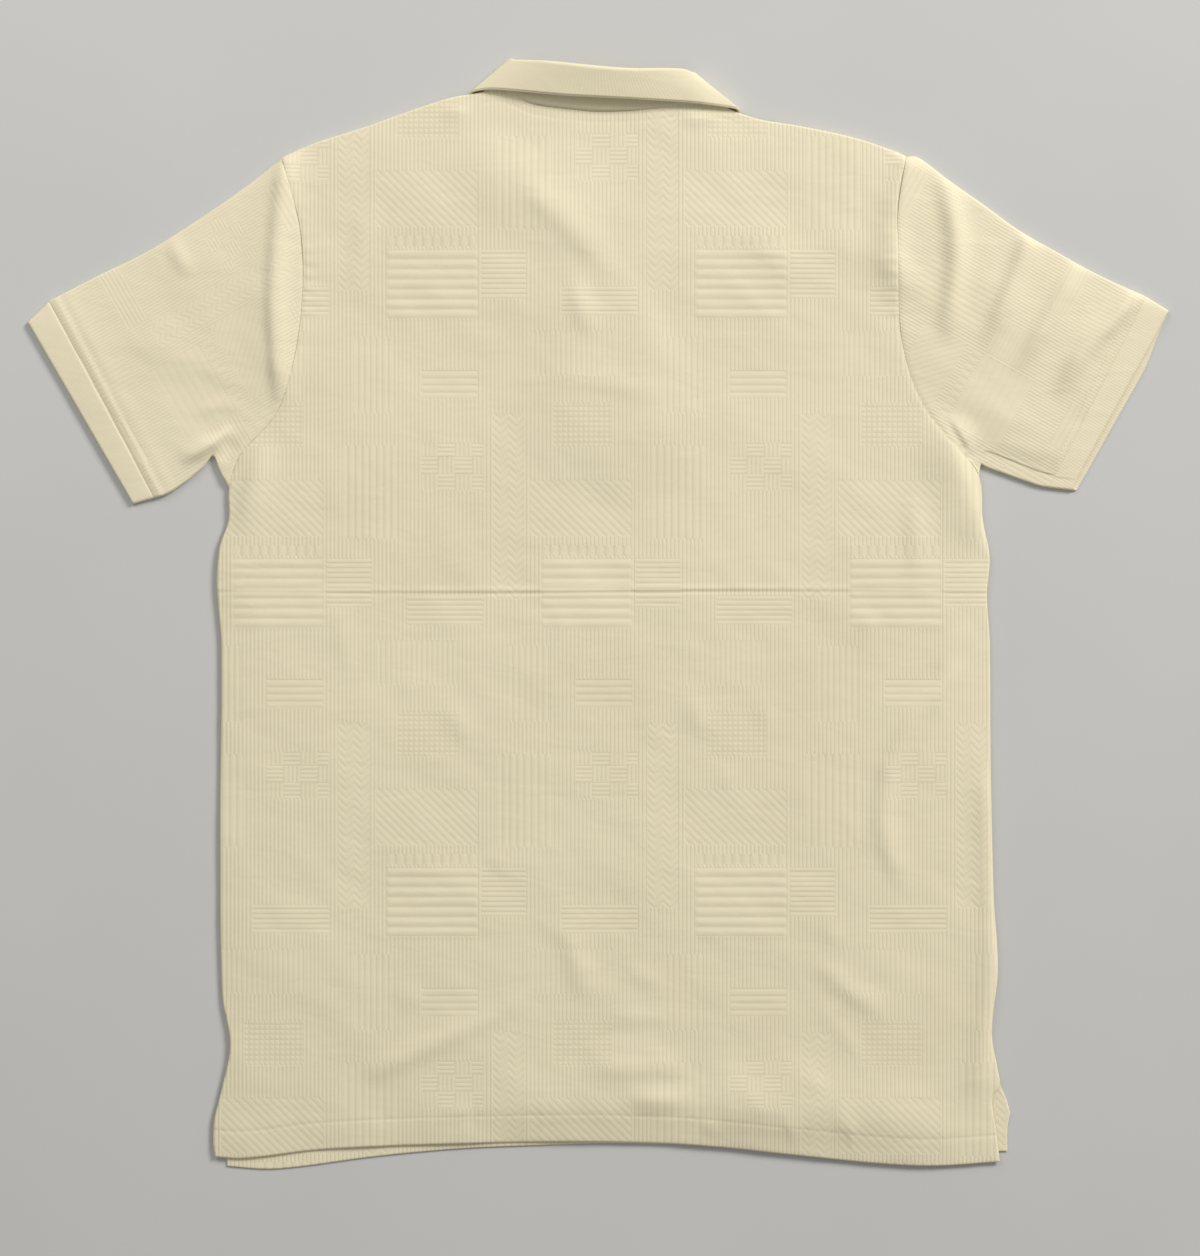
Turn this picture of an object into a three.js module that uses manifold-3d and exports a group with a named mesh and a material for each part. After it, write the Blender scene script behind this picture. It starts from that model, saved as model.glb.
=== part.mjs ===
// A short-sleeved knit polo shirt, laid out flat with its back side up.
// Millimetres. Looking down at it, +X is to the right, +Y runs from the hem to the collar, and +Z is up.
// Left and right are the wearer's, which from the back are also the viewer's.
// Every piece is a wall of cloth with its real thickness, a seam's gap away from the next piece.

import * as THREE from 'three';
import { mergeVertices } from 'three/addons/utils/BufferGeometryUtils.js';
import Module from 'manifold-3d';

const CLOTH = 1.4;
const RIB = 1.6;
const SEAM_GAP = 0.3;
const ARMHOLE_GAP = 1.1;
const NECKLINE_GAP = 0.9;

// Heights above the surface. The front lies on it, and the back lies on the front.
const UPPER_LAYER = 2;
const AIR_BETWEEN_LAYERS = 1.6;
const AIR_FADE = 14;
const PLACKET_RISE = 2.8;
const NECK_RISE = 1.0;

const CENTRE_FRONT = 5.65;
const NECK_LEFT = { x: -80.5, y: 362.6 };
const NECK_RIGHT = { x: 91.8, y: 350.6 };
const FRONT_NECK_DROP = 74;
const PLACKET_LENGTH = 140;
const PLACKET_WIDTH = 30;
const PLACKET_FADE = 20;
const PLACKET_CLOTH = 1.2;
const BUTTON_RADIUS = 5.5;
const BUTTON_HEIGHT = 2.1;
const BUTTON_DROPS = [11, 61, 111];

// Half outlines of the back, from hem to shoulder: the side seam up to the armpit, then the armhole.
const BACK_LEFT_EDGE = [
  { y: -380.1, x: -268.1 },
  { y: -371.7, x: -269.5 },
  { y: -354.2, x: -268.8 },
  { y: -336.7, x: -264.6 },
  { y: -301.7, x: -257.6 },
  { y: -266.7, x: -263.2 },
  { y: -144.2, x: -264.6 },
  { y: -21.7, x: -263.9 },
  { y: 22, x: -266.9 },
  { y: 48.3, x: -264.6 },
  { y: 66, x: -258.6 },
  { y: 88.2, x: -258.3 },
  { y: 112, x: -250 },
  { y: 122.7, x: -240 },
  { y: 134.3, x: -229.3 },
  { y: 149.5, x: -220.4 },
  { y: 167.4, x: -215 },
  { y: 187, x: -210.6 },
  { y: 217.4, x: -207 },
  { y: 245.9, x: -206.1 },
  { y: 270.9, x: -208.3 },
  { y: 292.4, x: -213.2 },
  { y: 319.9, x: -221.2 },
];
const BACK_RIGHT_EDGE = [
  { y: -383.6, x: 281.4 },
  { y: -360.5, x: 278.6 },
  { y: -338, x: 276 },
  { y: -329.7, x: 281.5 },
  { y: -319.2, x: 280 },
  { y: -293, x: 275.8 },
  { y: -249.2, x: 280 },
  { y: -196.7, x: 277.2 },
  { y: -109.2, x: 275.1 },
  { y: -21.7, x: 274.4 },
  { y: 13.3, x: 272.3 },
  { y: 40, x: 274.2 },
  { y: 65.8, x: 269.5 },
  { y: 97, x: 266.7 },
  { y: 114.8, x: 253.1 },
  { y: 124.4, x: 243.5 },
  { y: 138.9, x: 232.2 },
  { y: 155, x: 223.3 },
  { y: 172.6, x: 217 },
  { y: 195.2, x: 212.1 },
  { y: 219.2, x: 210.5 },
  { y: 251.3, x: 210 },
  { y: 283.5, x: 209.7 },
  { y: 320.6, x: 215.6 },
];
const LEFT_ARMPIT = 88.2;
const RIGHT_ARMPIT = 97;

// Below these heights the front's own edges show past the back's, at the two side vents.
const LEFT_VENT_TOP = -330;
const RIGHT_VENT_TOP = -336;
const FRONT_LEFT_VENT = [
  { y: -386.8, x: -259.8 },
  { y: -370, x: -261.5 },
  { y: -350, x: -264 },
  { y: -330, x: -262 },
];
const FRONT_RIGHT_VENT = [
  { y: -376.6, x: 286.8 },
  { y: -359.1, x: 287 },
  { y: -347, x: 288.9 },
  { y: -336, x: 283.5 },
];

const BACK_HEM = [
  { x: -270, y: -380.1 },
  { x: -248.5, y: -381.2 },
  { x: -194.6, y: -375.1 },
  { x: -135.5, y: -372.1 },
  { x: -60, y: -370 },
  { x: 1.4, y: -369.6 },
  { x: 70, y: -372.1 },
  { x: 138.9, y: -379 },
  { x: 197.8, y: -384.9 },
  { x: 237.1, y: -386.4 },
  { x: 282, y: -383.6 },
];
const FRONT_HEM = [
  { x: -262, y: -386.8 },
  { x: -225.8, y: -388.8 },
  { x: -155.1, y: -380 },
  { x: -96.2, y: -374.6 },
  { x: -37.2, y: -372.1 },
  { x: 15.4, y: -370.7 },
  { x: 138.9, y: -373.5 },
  { x: 287, y: -376.6 },
];
const LEFT_SHOULDER = [
  { x: -221.2, y: 319.9 },
  { x: -199.5, y: 329 },
  { x: -160.3, y: 341.6 },
  { x: -124.6, y: 354.2 },
  { x: -102, y: 361.2 },
  { x: -89, y: 362.2 },
  { x: -80.5, y: 362.6 },
];
const RIGHT_SHOULDER = [
  { x: 91.8, y: 350.6 },
  { x: 100, y: 349.2 },
  { x: 114.8, y: 345.4 },
  { x: 138.6, y: 341.6 },
  { x: 179.2, y: 333.2 },
  { x: 207.9, y: 323.8 },
  { x: 215.6, y: 320.6 },
];
const BACK_NECK = [
  { x: -80.5, y: 362.6 },
  { x: -68, y: 363.3 },
  { x: -57.4, y: 360.8 },
  { x: -43, y: 356.3 },
  { x: -25.2, y: 354.2 },
  { x: 0, y: 352.5 },
  { x: 15.4, y: 352.3 },
  { x: 40.6, y: 354.3 },
  { x: 60, y: 355.6 },
  { x: 78, y: 353.6 },
  { x: 91.8, y: 350.6 },
];

// Sleeves: the fold along the top, from the shoulder to the cuff's seam, and the underarm edge below it.
const LEFT_SLEEVE = {
  top: [
    { x: -240.8, y: 303.8 },
    { x: -263.9, y: 287 },
    { x: -289.1, y: 270.2 },
    { x: -316.4, y: 253.4 },
    { x: -350.7, y: 236.6 },
    { x: -384, y: 219.3 },
  ],
  under: [
    { x: -264.8, y: 100 },
    { x: -269.4, y: 110.5 },
    { x: -276.5, y: 102.9 },
    { x: -287, y: 93.8 },
    { x: -300.5, y: 84.6 },
    { x: -310.3, y: 81.3 },
  ],
  cuff: { top: { x: -399.4, y: 204.4 }, under: { x: -325.5, y: 77 } },
};
const RIGHT_SLEEVE = {
  top: [
    { x: 225, y: 319.3 },
    { x: 245.7, y: 303.8 },
    { x: 269.5, y: 287 },
    { x: 292.6, y: 270.2 },
    { x: 321.3, y: 253.4 },
    { x: 352.1, y: 236.6 },
    { x: 383.5, y: 222.5 },
  ],
  under: [
    { x: 267.4, y: 101 },
    { x: 268.6, y: 104.6 },
    { x: 273.5, y: 102.2 },
    { x: 296.8, y: 93.8 },
    { x: 307, y: 90.3 },
    { x: 315.5, y: 88.5 },
  ],
  cuff: { top: { x: 399.6, y: 212.4 }, under: { x: 330.4, y: 86.8 } },
};

// Soft folds of the upper layer: ridges along lines, each with its half width on the side that falls to the
// lower left (shade) and to the upper right (sun), and its height.
const FOLDS = [
  { line: [[-221, 312], [-226, 262], [-228, 206], [-224, 152]], shade: 12, sun: 9, height: 4.2 },
  { line: [[-342, 195], [-303, 183], [-275, 167]], shade: 7, sun: 10, height: 1.6 },
  { line: [[-292, 178], [-258, 165], [-233, 151]], shade: 6, sun: 10, height: 1.6 },
  { line: [[-262, 126], [-298, 106]], shade: 6, sun: 6, height: 2.2 },
  { line: [[-228, 130], [-238, 101], [-247, 66], [-251, 45]], shade: 6, sun: 14, height: 2.8 },
  { line: [[-72, 336], [-69, 305], [-37, 286], [-16, 274], [22, 253]], shade: 8, sun: 26, height: 2.6 },
  { line: [[-14, 244], [-15, 220], [-8, 203], [5, 195]], shade: 5, sun: 10, height: 2 },
  { line: [[89, 272], [113, 258], [134, 237], [145, 220]], shade: 9, sun: 14, height: 1.8 },
  { line: [[166, 274], [190, 255], [211, 239]], shade: 10, sun: 12, height: 1.6 },
  { line: [[215, 314], [206, 290], [204, 255], [213, 227], [217, 213]], shade: 12, sun: 13, height: 4 },
  { line: [[245, 293], [249, 262], [248, 234], [243, 202]], shade: 10, sun: 10, height: 2.6 },
  { line: [[297, 262], [288, 230], [278, 207]], shade: 7, sun: 9, height: 1.8 },
  { line: [[321, 220], [302, 188]], shade: 7, sun: 9, height: 1.8 },
  { line: [[374, 220], [348, 193], [325, 160]], shade: 6, sun: 7, height: 1.8 },
  { line: [[262, 118], [322, 108]], shade: 5, sun: 6, height: 2.2 },
  { line: [[236, 143], [241, 122], [246, 94]], shade: 16, sun: 6, height: 2.6 },
  { line: [[220, 94], [222, 38], [220, 10]], shade: 5, sun: 11, height: 1.8 },
  { line: [[262, 84], [267, 48]], shade: 12, sun: 5, height: 2 },
  { line: [[272, -151], [274, -200], [272, -242], [268, -284], [263, -330]], shade: 9, sun: 5, height: 2.6 },
  { line: [[-16, -317], [71, -317]], shade: 7, sun: 10, height: 2.2 },
  { line: [[15, -339], [71, -339]], shade: 6, sun: 7, height: 1.8 },
  { line: [[-167, -325], [-118, -302], [-83, -286]], shade: 8, sun: 7, height: 1.8 },
  { line: [[-41, -211], [-23, -225], [-15, -246], [-11, -260], [8, -265]], shade: 6, sun: 11, height: 1.6 },
  { line: [[145, -240], [180, -267], [208, -286]], shade: 5, sun: 8, height: 1.2 },
];

// Knitted-in blocks of broad bars, raised on the outer side of the back.
const BAR_PITCH = 7;
const BARS_PER_BLOCK = 7;
const BAR_RELIEF = 0.7;
const BLOCK_WIDTH = 64;
const BLOCK_EDGE = 1.6;
const BAR_BLOCKS = [
  { x: -116, y: 206 },
  { x: 100, y: 206 },
  { x: -224, y: -10 },
  { x: -8, y: -10 },
  { x: 208, y: -10 },
  { x: -116, y: -226 },
  { x: 100, y: -226 },
];

// The collar, a band folded over on itself, in stations round the neck from one front end to the other.
// turn is 0 where its outer side faces up, 90 at the crease beside the neck, and 180 under the front.
// seam is where it is sewn on, roll is where it folds over, and edge is its free edge.
const COLLAR = [
  { seamX: 5.2, rollX: 4.9, rollY: 307, edgeX: -27, edgeY: 266, turn: 180, lift: 0 },
  { seamX: -14, rollX: -8, rollY: 309, edgeX: -38, edgeY: 274, turn: 180, lift: 0 },
  { seamX: -42, rollX: -27, rollY: 319, edgeX: -53, edgeY: 286.5, turn: 180, lift: 0 },
  { seamX: -66, rollX: -44, rollY: 337, edgeX: -74, edgeY: 313, turn: 180, lift: 0 },
  { seamX: -76.5, rollX: -54, rollY: 361, edgeX: -84, edgeY: 338, turn: 180, lift: 0 },
  { seamX: -79.6, rollX: -59, rollY: 381, edgeX: -87, edgeY: 362, turn: 165, lift: 0 },
  { seamX: -79.9, rollX: -60.6, rollY: 385, edgeX: -88.4, edgeY: 364.2, turn: 90, lift: 0 },
  { seamX: -78.4, rollX: -58.6, rollY: 385.2, edgeX: -85.4, edgeY: 365.6, turn: 15, lift: 0 },
  { seamX: -68, rollX: -52, rollY: 384.9, edgeX: -74, edgeY: 366.6, turn: 0, lift: 3 },
  { seamX: -46, rollX: -36, rollY: 383.4, edgeX: -50, edgeY: 364.4, turn: 0, lift: 9 },
  { seamX: -21, rollX: -17, rollY: 381.2, edgeX: -24, edgeY: 361.8, turn: 0, lift: 13 },
  { seamX: 5, rollX: 4, rollY: 379, edgeX: 6, edgeY: 360.1, turn: 0, lift: 14.5 },
  { seamX: 31, rollX: 26, rollY: 377.8, edgeX: 34, edgeY: 358.8, turn: 0, lift: 13 },
  { seamX: 58, rollX: 45, rollY: 378.2, edgeX: 63, edgeY: 357.2, turn: 0, lift: 9 },
  { seamX: 80, rollX: 56.5, rollY: 378, edgeX: 84, edgeY: 355, turn: 0, lift: 3 },
  { seamX: 90, rollX: 62, rollY: 375.4, edgeX: 95.6, edgeY: 353.6, turn: 15, lift: 0 },
  { seamX: 91.2, rollX: 63.6, rollY: 374.2, edgeX: 98.8, edgeY: 351.8, turn: 90, lift: 0 },
  { seamX: 91, rollX: 62.4, rollY: 371, edgeX: 97.8, edgeY: 350, turn: 165, lift: 0 },
  { seamX: 87.6, rollX: 60, rollY: 354, edgeX: 94, edgeY: 329, turn: 180, lift: 0 },
  { seamX: 76.5, rollX: 53, rollY: 332, edgeX: 84, edgeY: 306, turn: 180, lift: 0 },
  { seamX: 52, rollX: 37, rollY: 316, edgeX: 64, edgeY: 283, turn: 180, lift: 0 },
  { seamX: 25, rollX: 19, rollY: 308, edgeX: 49.5, edgeY: 272, turn: 180, lift: 0 },
  { seamX: 6.1, rollX: 6.4, rollY: 307, edgeX: 38.3, edgeY: 265, turn: 180, lift: 0 },
];
const COLLAR_STEPS = 2;
const STAND_HALF_GAP = 1.45;
const LEAF_GAP = 3;
const ROLL_RADIUS = 1.35;
const ROLL_SPREAD = 0.055;

const clamp = (value, low, high) => Math.min(Math.max(value, low), high);
const mix = (a, b, t) => a + (b - a) * t;
const smoothStep = (t) => {
  const s = clamp(t, 0, 1);
  return s * s * (3 - 2 * s);
};
const range = (count) => Array.from({ length: count }, (unused, index) => index);
const evenly = (low, high, steps) => range(steps + 1).map((i) => mix(low, high, i / steps));
const flatPoint = (row) => new THREE.Vector2(row.x, row.y);

// The value of one column of a table at any place along another, as a smooth curve through its rows.
function column(rows, along, name) {
  const at = rows.map((row) => row[along]);
  const value = rows.map((row) => row[name]);
  const last = rows.length - 1;
  const slope = (i) => {
    const before = Math.max(i - 1, 0);
    const after = Math.min(i + 1, last);
    return (value[after] - value[before]) / (at[after] - at[before]);
  };
  return (place) => {
    let i = 0;
    while (i < last - 1 && place > at[i + 1]) {
      i += 1;
    }
    const span = at[i + 1] - at[i];
    const t = clamp((place - at[i]) / span, 0, 1);
    const rise = value[i + 1] - value[i];
    const bendIn = slope(i) * span - rise;
    const bendOut = rise - slope(i + 1) * span;
    return value[i] + rise * t + t * (1 - t) * (bendIn * (1 - t) + bendOut * t);
  };
}

const backLeftX = column(BACK_LEFT_EDGE, 'y', 'x');
const backRightX = column(BACK_RIGHT_EDGE, 'y', 'x');
const frontLeftVentX = column(FRONT_LEFT_VENT, 'y', 'x');
const frontRightVentX = column(FRONT_RIGHT_VENT, 'y', 'x');
const backHemY = column(BACK_HEM, 'x', 'y');
const frontHemY = column(FRONT_HEM, 'x', 'y');
const leftShoulderY = column(LEFT_SHOULDER, 'x', 'y');
const rightShoulderY = column(RIGHT_SHOULDER, 'x', 'y');
const backNeckY = column(BACK_NECK, 'x', 'y');

// The front's sides lie a little inside the back's, which hides them from above.
const FRONT_INSET = 0.5;
const frontLeftX = (y) => (y < LEFT_VENT_TOP ? frontLeftVentX(y) : backLeftX(y) + FRONT_INSET);
const frontRightX = (y) => (y < RIGHT_VENT_TOP ? frontRightVentX(y) : backRightX(y) - FRONT_INSET);

// The front neckline is a deep rounded scoop between the two neck points.
function frontNeckY(x) {
  const middle = (NECK_LEFT.x + NECK_RIGHT.x) / 2;
  const half = (NECK_RIGHT.x - NECK_LEFT.x) / 2;
  const across = clamp((x - middle) / half, -1, 1);
  const chord = mix(NECK_LEFT.y, NECK_RIGHT.y, (across + 1) / 2);
  return chord - FRONT_NECK_DROP * (1 - Math.abs(across) ** 2.6) ** 0.62;
}
const FRONT_NECK_MIDDLE = frontNeckY(CENTRE_FRONT);

function topEdgeY(x, neckY) {
  if (x <= NECK_LEFT.x) {
    return leftShoulderY(x);
  }
  return x >= NECK_RIGHT.x ? rightShoulderY(x) : neckY(x);
}

// The two armholes, from shoulder to armpit, as the sleeves meet them.
function armhole(edgeX, shoulderY, armpitY, side) {
  const steps = 24;
  return evenly(shoulderY, armpitY, steps).map((y) => {
    const ahead = new THREE.Vector2(edgeX(y - 1) - edgeX(y + 1), -2).normalize();
    const away = new THREE.Vector2(side * Math.abs(ahead.y), side * Math.sign(ahead.y) * -ahead.x);
    return new THREE.Vector2(edgeX(y), y).addScaledVector(away, ARMHOLE_GAP);
  });
}

const leftArmhole = new THREE.SplineCurve(armhole(backLeftX, 319.4, LEFT_ARMPIT, -1));
const rightArmhole = new THREE.SplineCurve(armhole(backRightX, 320.2, RIGHT_ARMPIT, 1));

// The whole outline seen from above, over the neck hole, which the air between the layers fades towards.
const OUTLINE = [
  ...LEFT_SHOULDER.slice(0, -1).reverse(),
  ...LEFT_SLEEVE.top,
  LEFT_SLEEVE.cuff.top,
  LEFT_SLEEVE.cuff.under,
  ...LEFT_SLEEVE.under.slice(1).reverse(),
  ...BACK_LEFT_EDGE.filter((row) => row.y < LEFT_ARMPIT).reverse(),
  ...BACK_HEM,
  ...BACK_RIGHT_EDGE.filter((row) => row.y < RIGHT_ARMPIT),
  ...RIGHT_SLEEVE.under.slice(1),
  RIGHT_SLEEVE.cuff.under,
  RIGHT_SLEEVE.cuff.top,
  ...[...RIGHT_SLEEVE.top].reverse(),
  ...RIGHT_SHOULDER.slice(1).reverse(),
  { x: 66, y: 400 },
  { x: -62, y: 400 },
].map(flatPoint);

function fromSegment(point, from, to) {
  const along = to.clone().sub(from);
  const t = clamp(point.clone().sub(from).dot(along) / along.lengthSq(), 0, 1);
  return point.clone().sub(from.clone().addScaledVector(along, t));
}

function distanceToOutline(x, y) {
  const point = new THREE.Vector2(x, y);
  const next = (i) => OUTLINE[(i + 1) % OUTLINE.length];
  return Math.min(...OUTLINE.map((from, i) => fromSegment(point, from, next(i)).length()));
}

// 1 over the collar's front half and the placket, where the front is lifted, and 0 away from them.
function neckPatch(x, y) {
  const overCollar = Math.hypot((x - CENTRE_FRONT) / 106, (y - 330) / 84);
  const placketFoot = FRONT_NECK_MIDDLE - PLACKET_LENGTH;
  const besidePlacket = Math.max(Math.abs(x - CENTRE_FRONT) - PLACKET_WIDTH / 2, 0);
  const belowPlacket = Math.max(placketFoot - 4 - y, 0);
  const collarPart = 1 - smoothStep((overCollar - 1) / 0.45);
  const placketPart = 1 - smoothStep((Math.hypot(besidePlacket, belowPlacket) - 4) / PLACKET_FADE);
  return Math.max(collarPart, placketPart);
}

function foldHeight(x, y) {
  const point = new THREE.Vector2(x, y);
  return FOLDS.reduce((sum, fold) => {
    const line = fold.line.map((place) => new THREE.Vector2(...place));
    const offsets = line.slice(1).map((to, i) => fromSegment(point, line[i], to));
    const nearest = offsets.reduce((a, b) => (b.length() < a.length() ? b : a));
    const away = nearest.length();
    const sunny = 0.5 + (0.5 * (nearest.x + nearest.y)) / (Math.SQRT2 * Math.max(away, 1e-6));
    const share = away / (fold.shade + (fold.sun - fold.shade) * sunny);
    return sum + fold.height * Math.exp(-share * share);
  }, 0);
}

// Undersides of the two layers. The upper one rests on the lower one all round the outline.
const lowerBottom = (x, y) => PLACKET_RISE * neckPatch(x, y);
function upperBottom(x, y) {
  const edge = distanceToOutline(x, y);
  const air = AIR_BETWEEN_LAYERS * (1 - Math.exp(-edge / AIR_FADE));
  const folds = foldHeight(x, y) * smoothStep(edge / 6);
  return UPPER_LAYER + (PLACKET_RISE + NECK_RISE) * neckPatch(x, y) + air + folds;
}

// The raised bars, as a height over the cloth's plain outer face.
function barHeight(x, y) {
  return BAR_BLOCKS.reduce((sum, block) => {
    const up = (y - block.y) / BAR_PITCH;
    const inside = BLOCK_WIDTH / 2 - Math.abs(x - block.x);
    if (up < 0 || up > BARS_PER_BLOCK || inside < 0) {
      return sum;
    }
    const wave = 0.5 - 0.5 * Math.cos(2 * Math.PI * up);
    return sum + BAR_RELIEF * wave * smoothStep(inside / BLOCK_EDGE);
  }, 0);
}

// A closed body from its points and faces, turned so that the faces point out.
class Body {
  constructor() {
    this.points = [];
    this.faces = [];
  }

  add(point) {
    this.points.push(point);
    return this.points.length - 1;
  }

  grid(points) {
    return points.map((row) => row.map((point) => this.add(point)));
  }

  quad(a, b, c, d) {
    this.faces.push([a, b, c], [a, c, d]);
  }

  // Fills between two lines of points that start and end together but may have different counts.
  zip(outer, inner) {
    const lengths = (line) => {
      const sums = [0];
      for (let i = 1; i < line.length; i += 1) {
        sums.push(sums[i - 1] + this.points[line[i]].distanceTo(this.points[line[i - 1]]));
      }
      return sums.map((sum) => sum / sums[sums.length - 1]);
    };
    const outerAt = lengths(outer);
    const innerAt = lengths(inner);
    let o = 0;
    let i = 0;
    while (o < outer.length - 1 || i < inner.length - 1) {
      const outerDone = o === outer.length - 1;
      const innerDone = i === inner.length - 1;
      if (outerDone || (!innerDone && innerAt[i + 1] <= outerAt[o + 1])) {
        this.faces.push([inner[i], inner[i + 1], outer[o]]);
        i += 1;
      } else {
        this.faces.push([inner[i], outer[o + 1], outer[o]]);
        o += 1;
      }
    }
  }

  volume() {
    return this.faces.reduce((sum, [a, b, c]) => {
      const across = this.points[b].clone().cross(this.points[c]);
      return sum + this.points[a].dot(across) / 6;
    }, 0);
  }

  geometry() {
    const out = this.volume() > 0 ? this.faces : this.faces.map(([a, b, c]) => [a, c, b]);
    const shape = new THREE.BufferGeometry();
    const position = new Float32Array(this.points.flatMap((p) => [p.x, p.y, p.z]));
    shape.setAttribute('position', new THREE.BufferAttribute(position, 3));
    shape.setIndex(out.flat());
    return shape;
  }
}

// A wall between an outer and an inner sheet of points, which may be coarser.
function sheetWall(outerPoints, innerPoints) {
  const body = new Body();
  const outer = body.grid(outerPoints);
  const inner = body.grid(innerPoints);
  const cover = (grid, face) => {
    for (let r = 0; r < grid.length - 1; r += 1) {
      for (let c = 0; c < grid[r].length - 1; c += 1) {
        face(grid[r][c], grid[r][c + 1], grid[r + 1][c + 1], grid[r + 1][c]);
      }
    }
  };
  cover(outer, (a, b, c, d) => body.quad(a, b, c, d));
  cover(inner, (a, b, c, d) => body.quad(a, d, c, b));
  const sides = (grid) => {
    const lastColumn = grid[0].length - 1;
    return [
      grid[0],
      grid.map((row) => row[lastColumn]),
      [...grid[grid.length - 1]].reverse(),
      grid.map((row) => row[0]).reverse(),
    ];
  };
  const innerSides = sides(inner);
  sides(outer).forEach((side, i) => body.zip(side, innerSides[i]));
  return body.geometry();
}

// A wall between an outer and an inner tube, each a list of closed rings, open at both ends.
function tubeWall(outerRings, innerRings) {
  const body = new Body();
  const outer = body.grid(outerRings);
  const inner = body.grid(innerRings);
  const round = outer[0].length;
  const last = outer.length - 1;
  for (const k of range(round)) {
    const next = (k + 1) % round;
    for (const s of range(last)) {
      body.quad(outer[s][k], outer[s][next], outer[s + 1][next], outer[s + 1][k]);
      body.quad(inner[s][k], inner[s + 1][k], inner[s + 1][next], inner[s][next]);
    }
    body.quad(outer[0][k], inner[0][k], inner[0][next], outer[0][next]);
    body.quad(outer[last][k], outer[last][next], inner[last][next], inner[last][k]);
  }
  return body.geometry();
}

// Points over a body panel. Columns stay upright between the armholes and spread to its edges outside them.
// Rows are level in the middle, and bend to the hem below and to the shoulders and neck above.
const UPRIGHT_HALF = 190;
const PANEL_HALF = 266;
const PANEL_FOOT = -375;
const PANEL_TOP = 352;
const HEM_BLEND = 70;
const TOP_BLEND = 130;

function panelPoints(columns, rows, panel, height) {
  return rows.map((row) => columns.map((across) => {
    const upright = clamp(across, -UPRIGHT_HALF, UPRIGHT_HALF);
    const nearHem = 1 - smoothStep((row - PANEL_FOOT) / HEM_BLEND);
    const nearTop = smoothStep((row - PANEL_TOP + panel.topBlend) / panel.topBlend);
    const level = (x) => {
      const hemShift = nearHem * (panel.hemY(x) - PANEL_FOOT);
      return row + hemShift + nearTop * (panel.topY(x) - PANEL_TOP);
    };
    let x = upright;
    let y = level(x);
    if (across !== upright) {
      const share = (Math.abs(across) - UPRIGHT_HALF) / (PANEL_HALF - UPRIGHT_HALF);
      const edgeX = across < 0 ? panel.leftX : panel.rightX;
      range(5).forEach(() => {
        x = mix(upright, edgeX(y), share);
        y = level(x);
      });
    }
    return new THREE.Vector3(x, y, height(x, y));
  }));
}

const backPanel = {
  leftX: backLeftX,
  rightX: backRightX,
  hemY: backHemY,
  topY: (x) => topEdgeY(x, backNeckY),
  topBlend: TOP_BLEND,
};
const frontPanel = {
  leftX: frontLeftX,
  rightX: frontRightX,
  hemY: frontHemY,
  topY: (x) => topEdgeY(x, frontNeckY),
  topBlend: TOP_BLEND * 2,
};

// Keeps the wanted places and fills the stretches between them evenly, no wider than a given step.
function filled(wanted, low, high, widest) {
  const inRange = [low, ...wanted, high].filter((place) => place >= low && place <= high);
  const fixed = [...new Set(inRange)].sort((a, b) => a - b);
  const all = [low];
  for (const next of fixed.slice(1)) {
    const from = all[all.length - 1];
    const steps = Math.max(1, Math.ceil((next - from) / widest));
    all.push(...evenly(from, next, steps).slice(1));
  }
  return all;
}

// Where the armholes curve most, the panels have their rows close together.
const ARMHOLE_ROWS = { from: 96, to: 192, steps: 8 };
const armholeRows = evenly(ARMHOLE_ROWS.from, ARMHOLE_ROWS.to, ARMHOLE_ROWS.steps);

// The back has its raised bars on the outside only, over a plain and coarser inside.
function backGeometry() {
  const half = BLOCK_WIDTH / 2;
  const flatHalf = half - BLOCK_EDGE;
  const blockColumns = BAR_BLOCKS.flatMap((b) => [b.x - half, b.x - flatHalf, b.x + flatHalf, b.x + half]);
  const blockHeight = BAR_PITCH * BARS_PER_BLOCK;
  const blockRows = BAR_BLOCKS.flatMap((b) => evenly(b.y, b.y + blockHeight, BARS_PER_BLOCK * 2));
  const neckColumns = [NECK_LEFT.x, NECK_LEFT.x + 16, NECK_RIGHT.x];
  const columns = filled([...blockColumns, ...neckColumns], -PANEL_HALF, PANEL_HALF, 22);
  const rows = filled([...blockRows, ...armholeRows], PANEL_FOOT, PANEL_TOP, 19);
  const plainColumns = filled(neckColumns, -PANEL_HALF, PANEL_HALF, 30);
  const plainRows = filled([], PANEL_FOOT, PANEL_TOP, 24);
  const outside = (x, y) => upperBottom(x, y) + CLOTH + barHeight(x, y);
  const outer = panelPoints(columns, rows, backPanel, outside);
  const inner = panelPoints(plainColumns, plainRows, backPanel, upperBottom);
  return sheetWall(outer, inner);
}

// The front, with a slot at its middle that the placket fills.
function frontGeometry(wasm) {
  const middle = (NECK_LEFT.x + NECK_RIGHT.x) / 2;
  const half = (NECK_RIGHT.x - NECK_LEFT.x) / 2;
  const scoop = evenly(0, Math.PI, 16).map((angle) => middle - half * Math.cos(angle));
  const columns = filled(scoop, -PANEL_HALF, PANEL_HALF, 42);
  const rows = filled(armholeRows, PANEL_FOOT, PANEL_TOP, 30);
  const plainRows = filled([], PANEL_FOOT, PANEL_TOP, 30);
  const outer = panelPoints(columns, rows, frontPanel, (x, y) => lowerBottom(x, y) + CLOTH);
  const inner = panelPoints(columns, plainRows, frontPanel, lowerBottom);
  const slotWidth = PLACKET_WIDTH + 2 * SEAM_GAP;
  const slotFoot = FRONT_NECK_MIDDLE - PLACKET_LENGTH - SEAM_GAP;
  const slotLength = PLACKET_LENGTH + 40;
  const slot = new THREE.BoxGeometry(slotWidth, slotLength, 30);
  slot.translate(CENTRE_FRONT, slotFoot + slotLength / 2, 0);
  return cutAway(wasm, sheetWall(outer, inner), slot);
}

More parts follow.
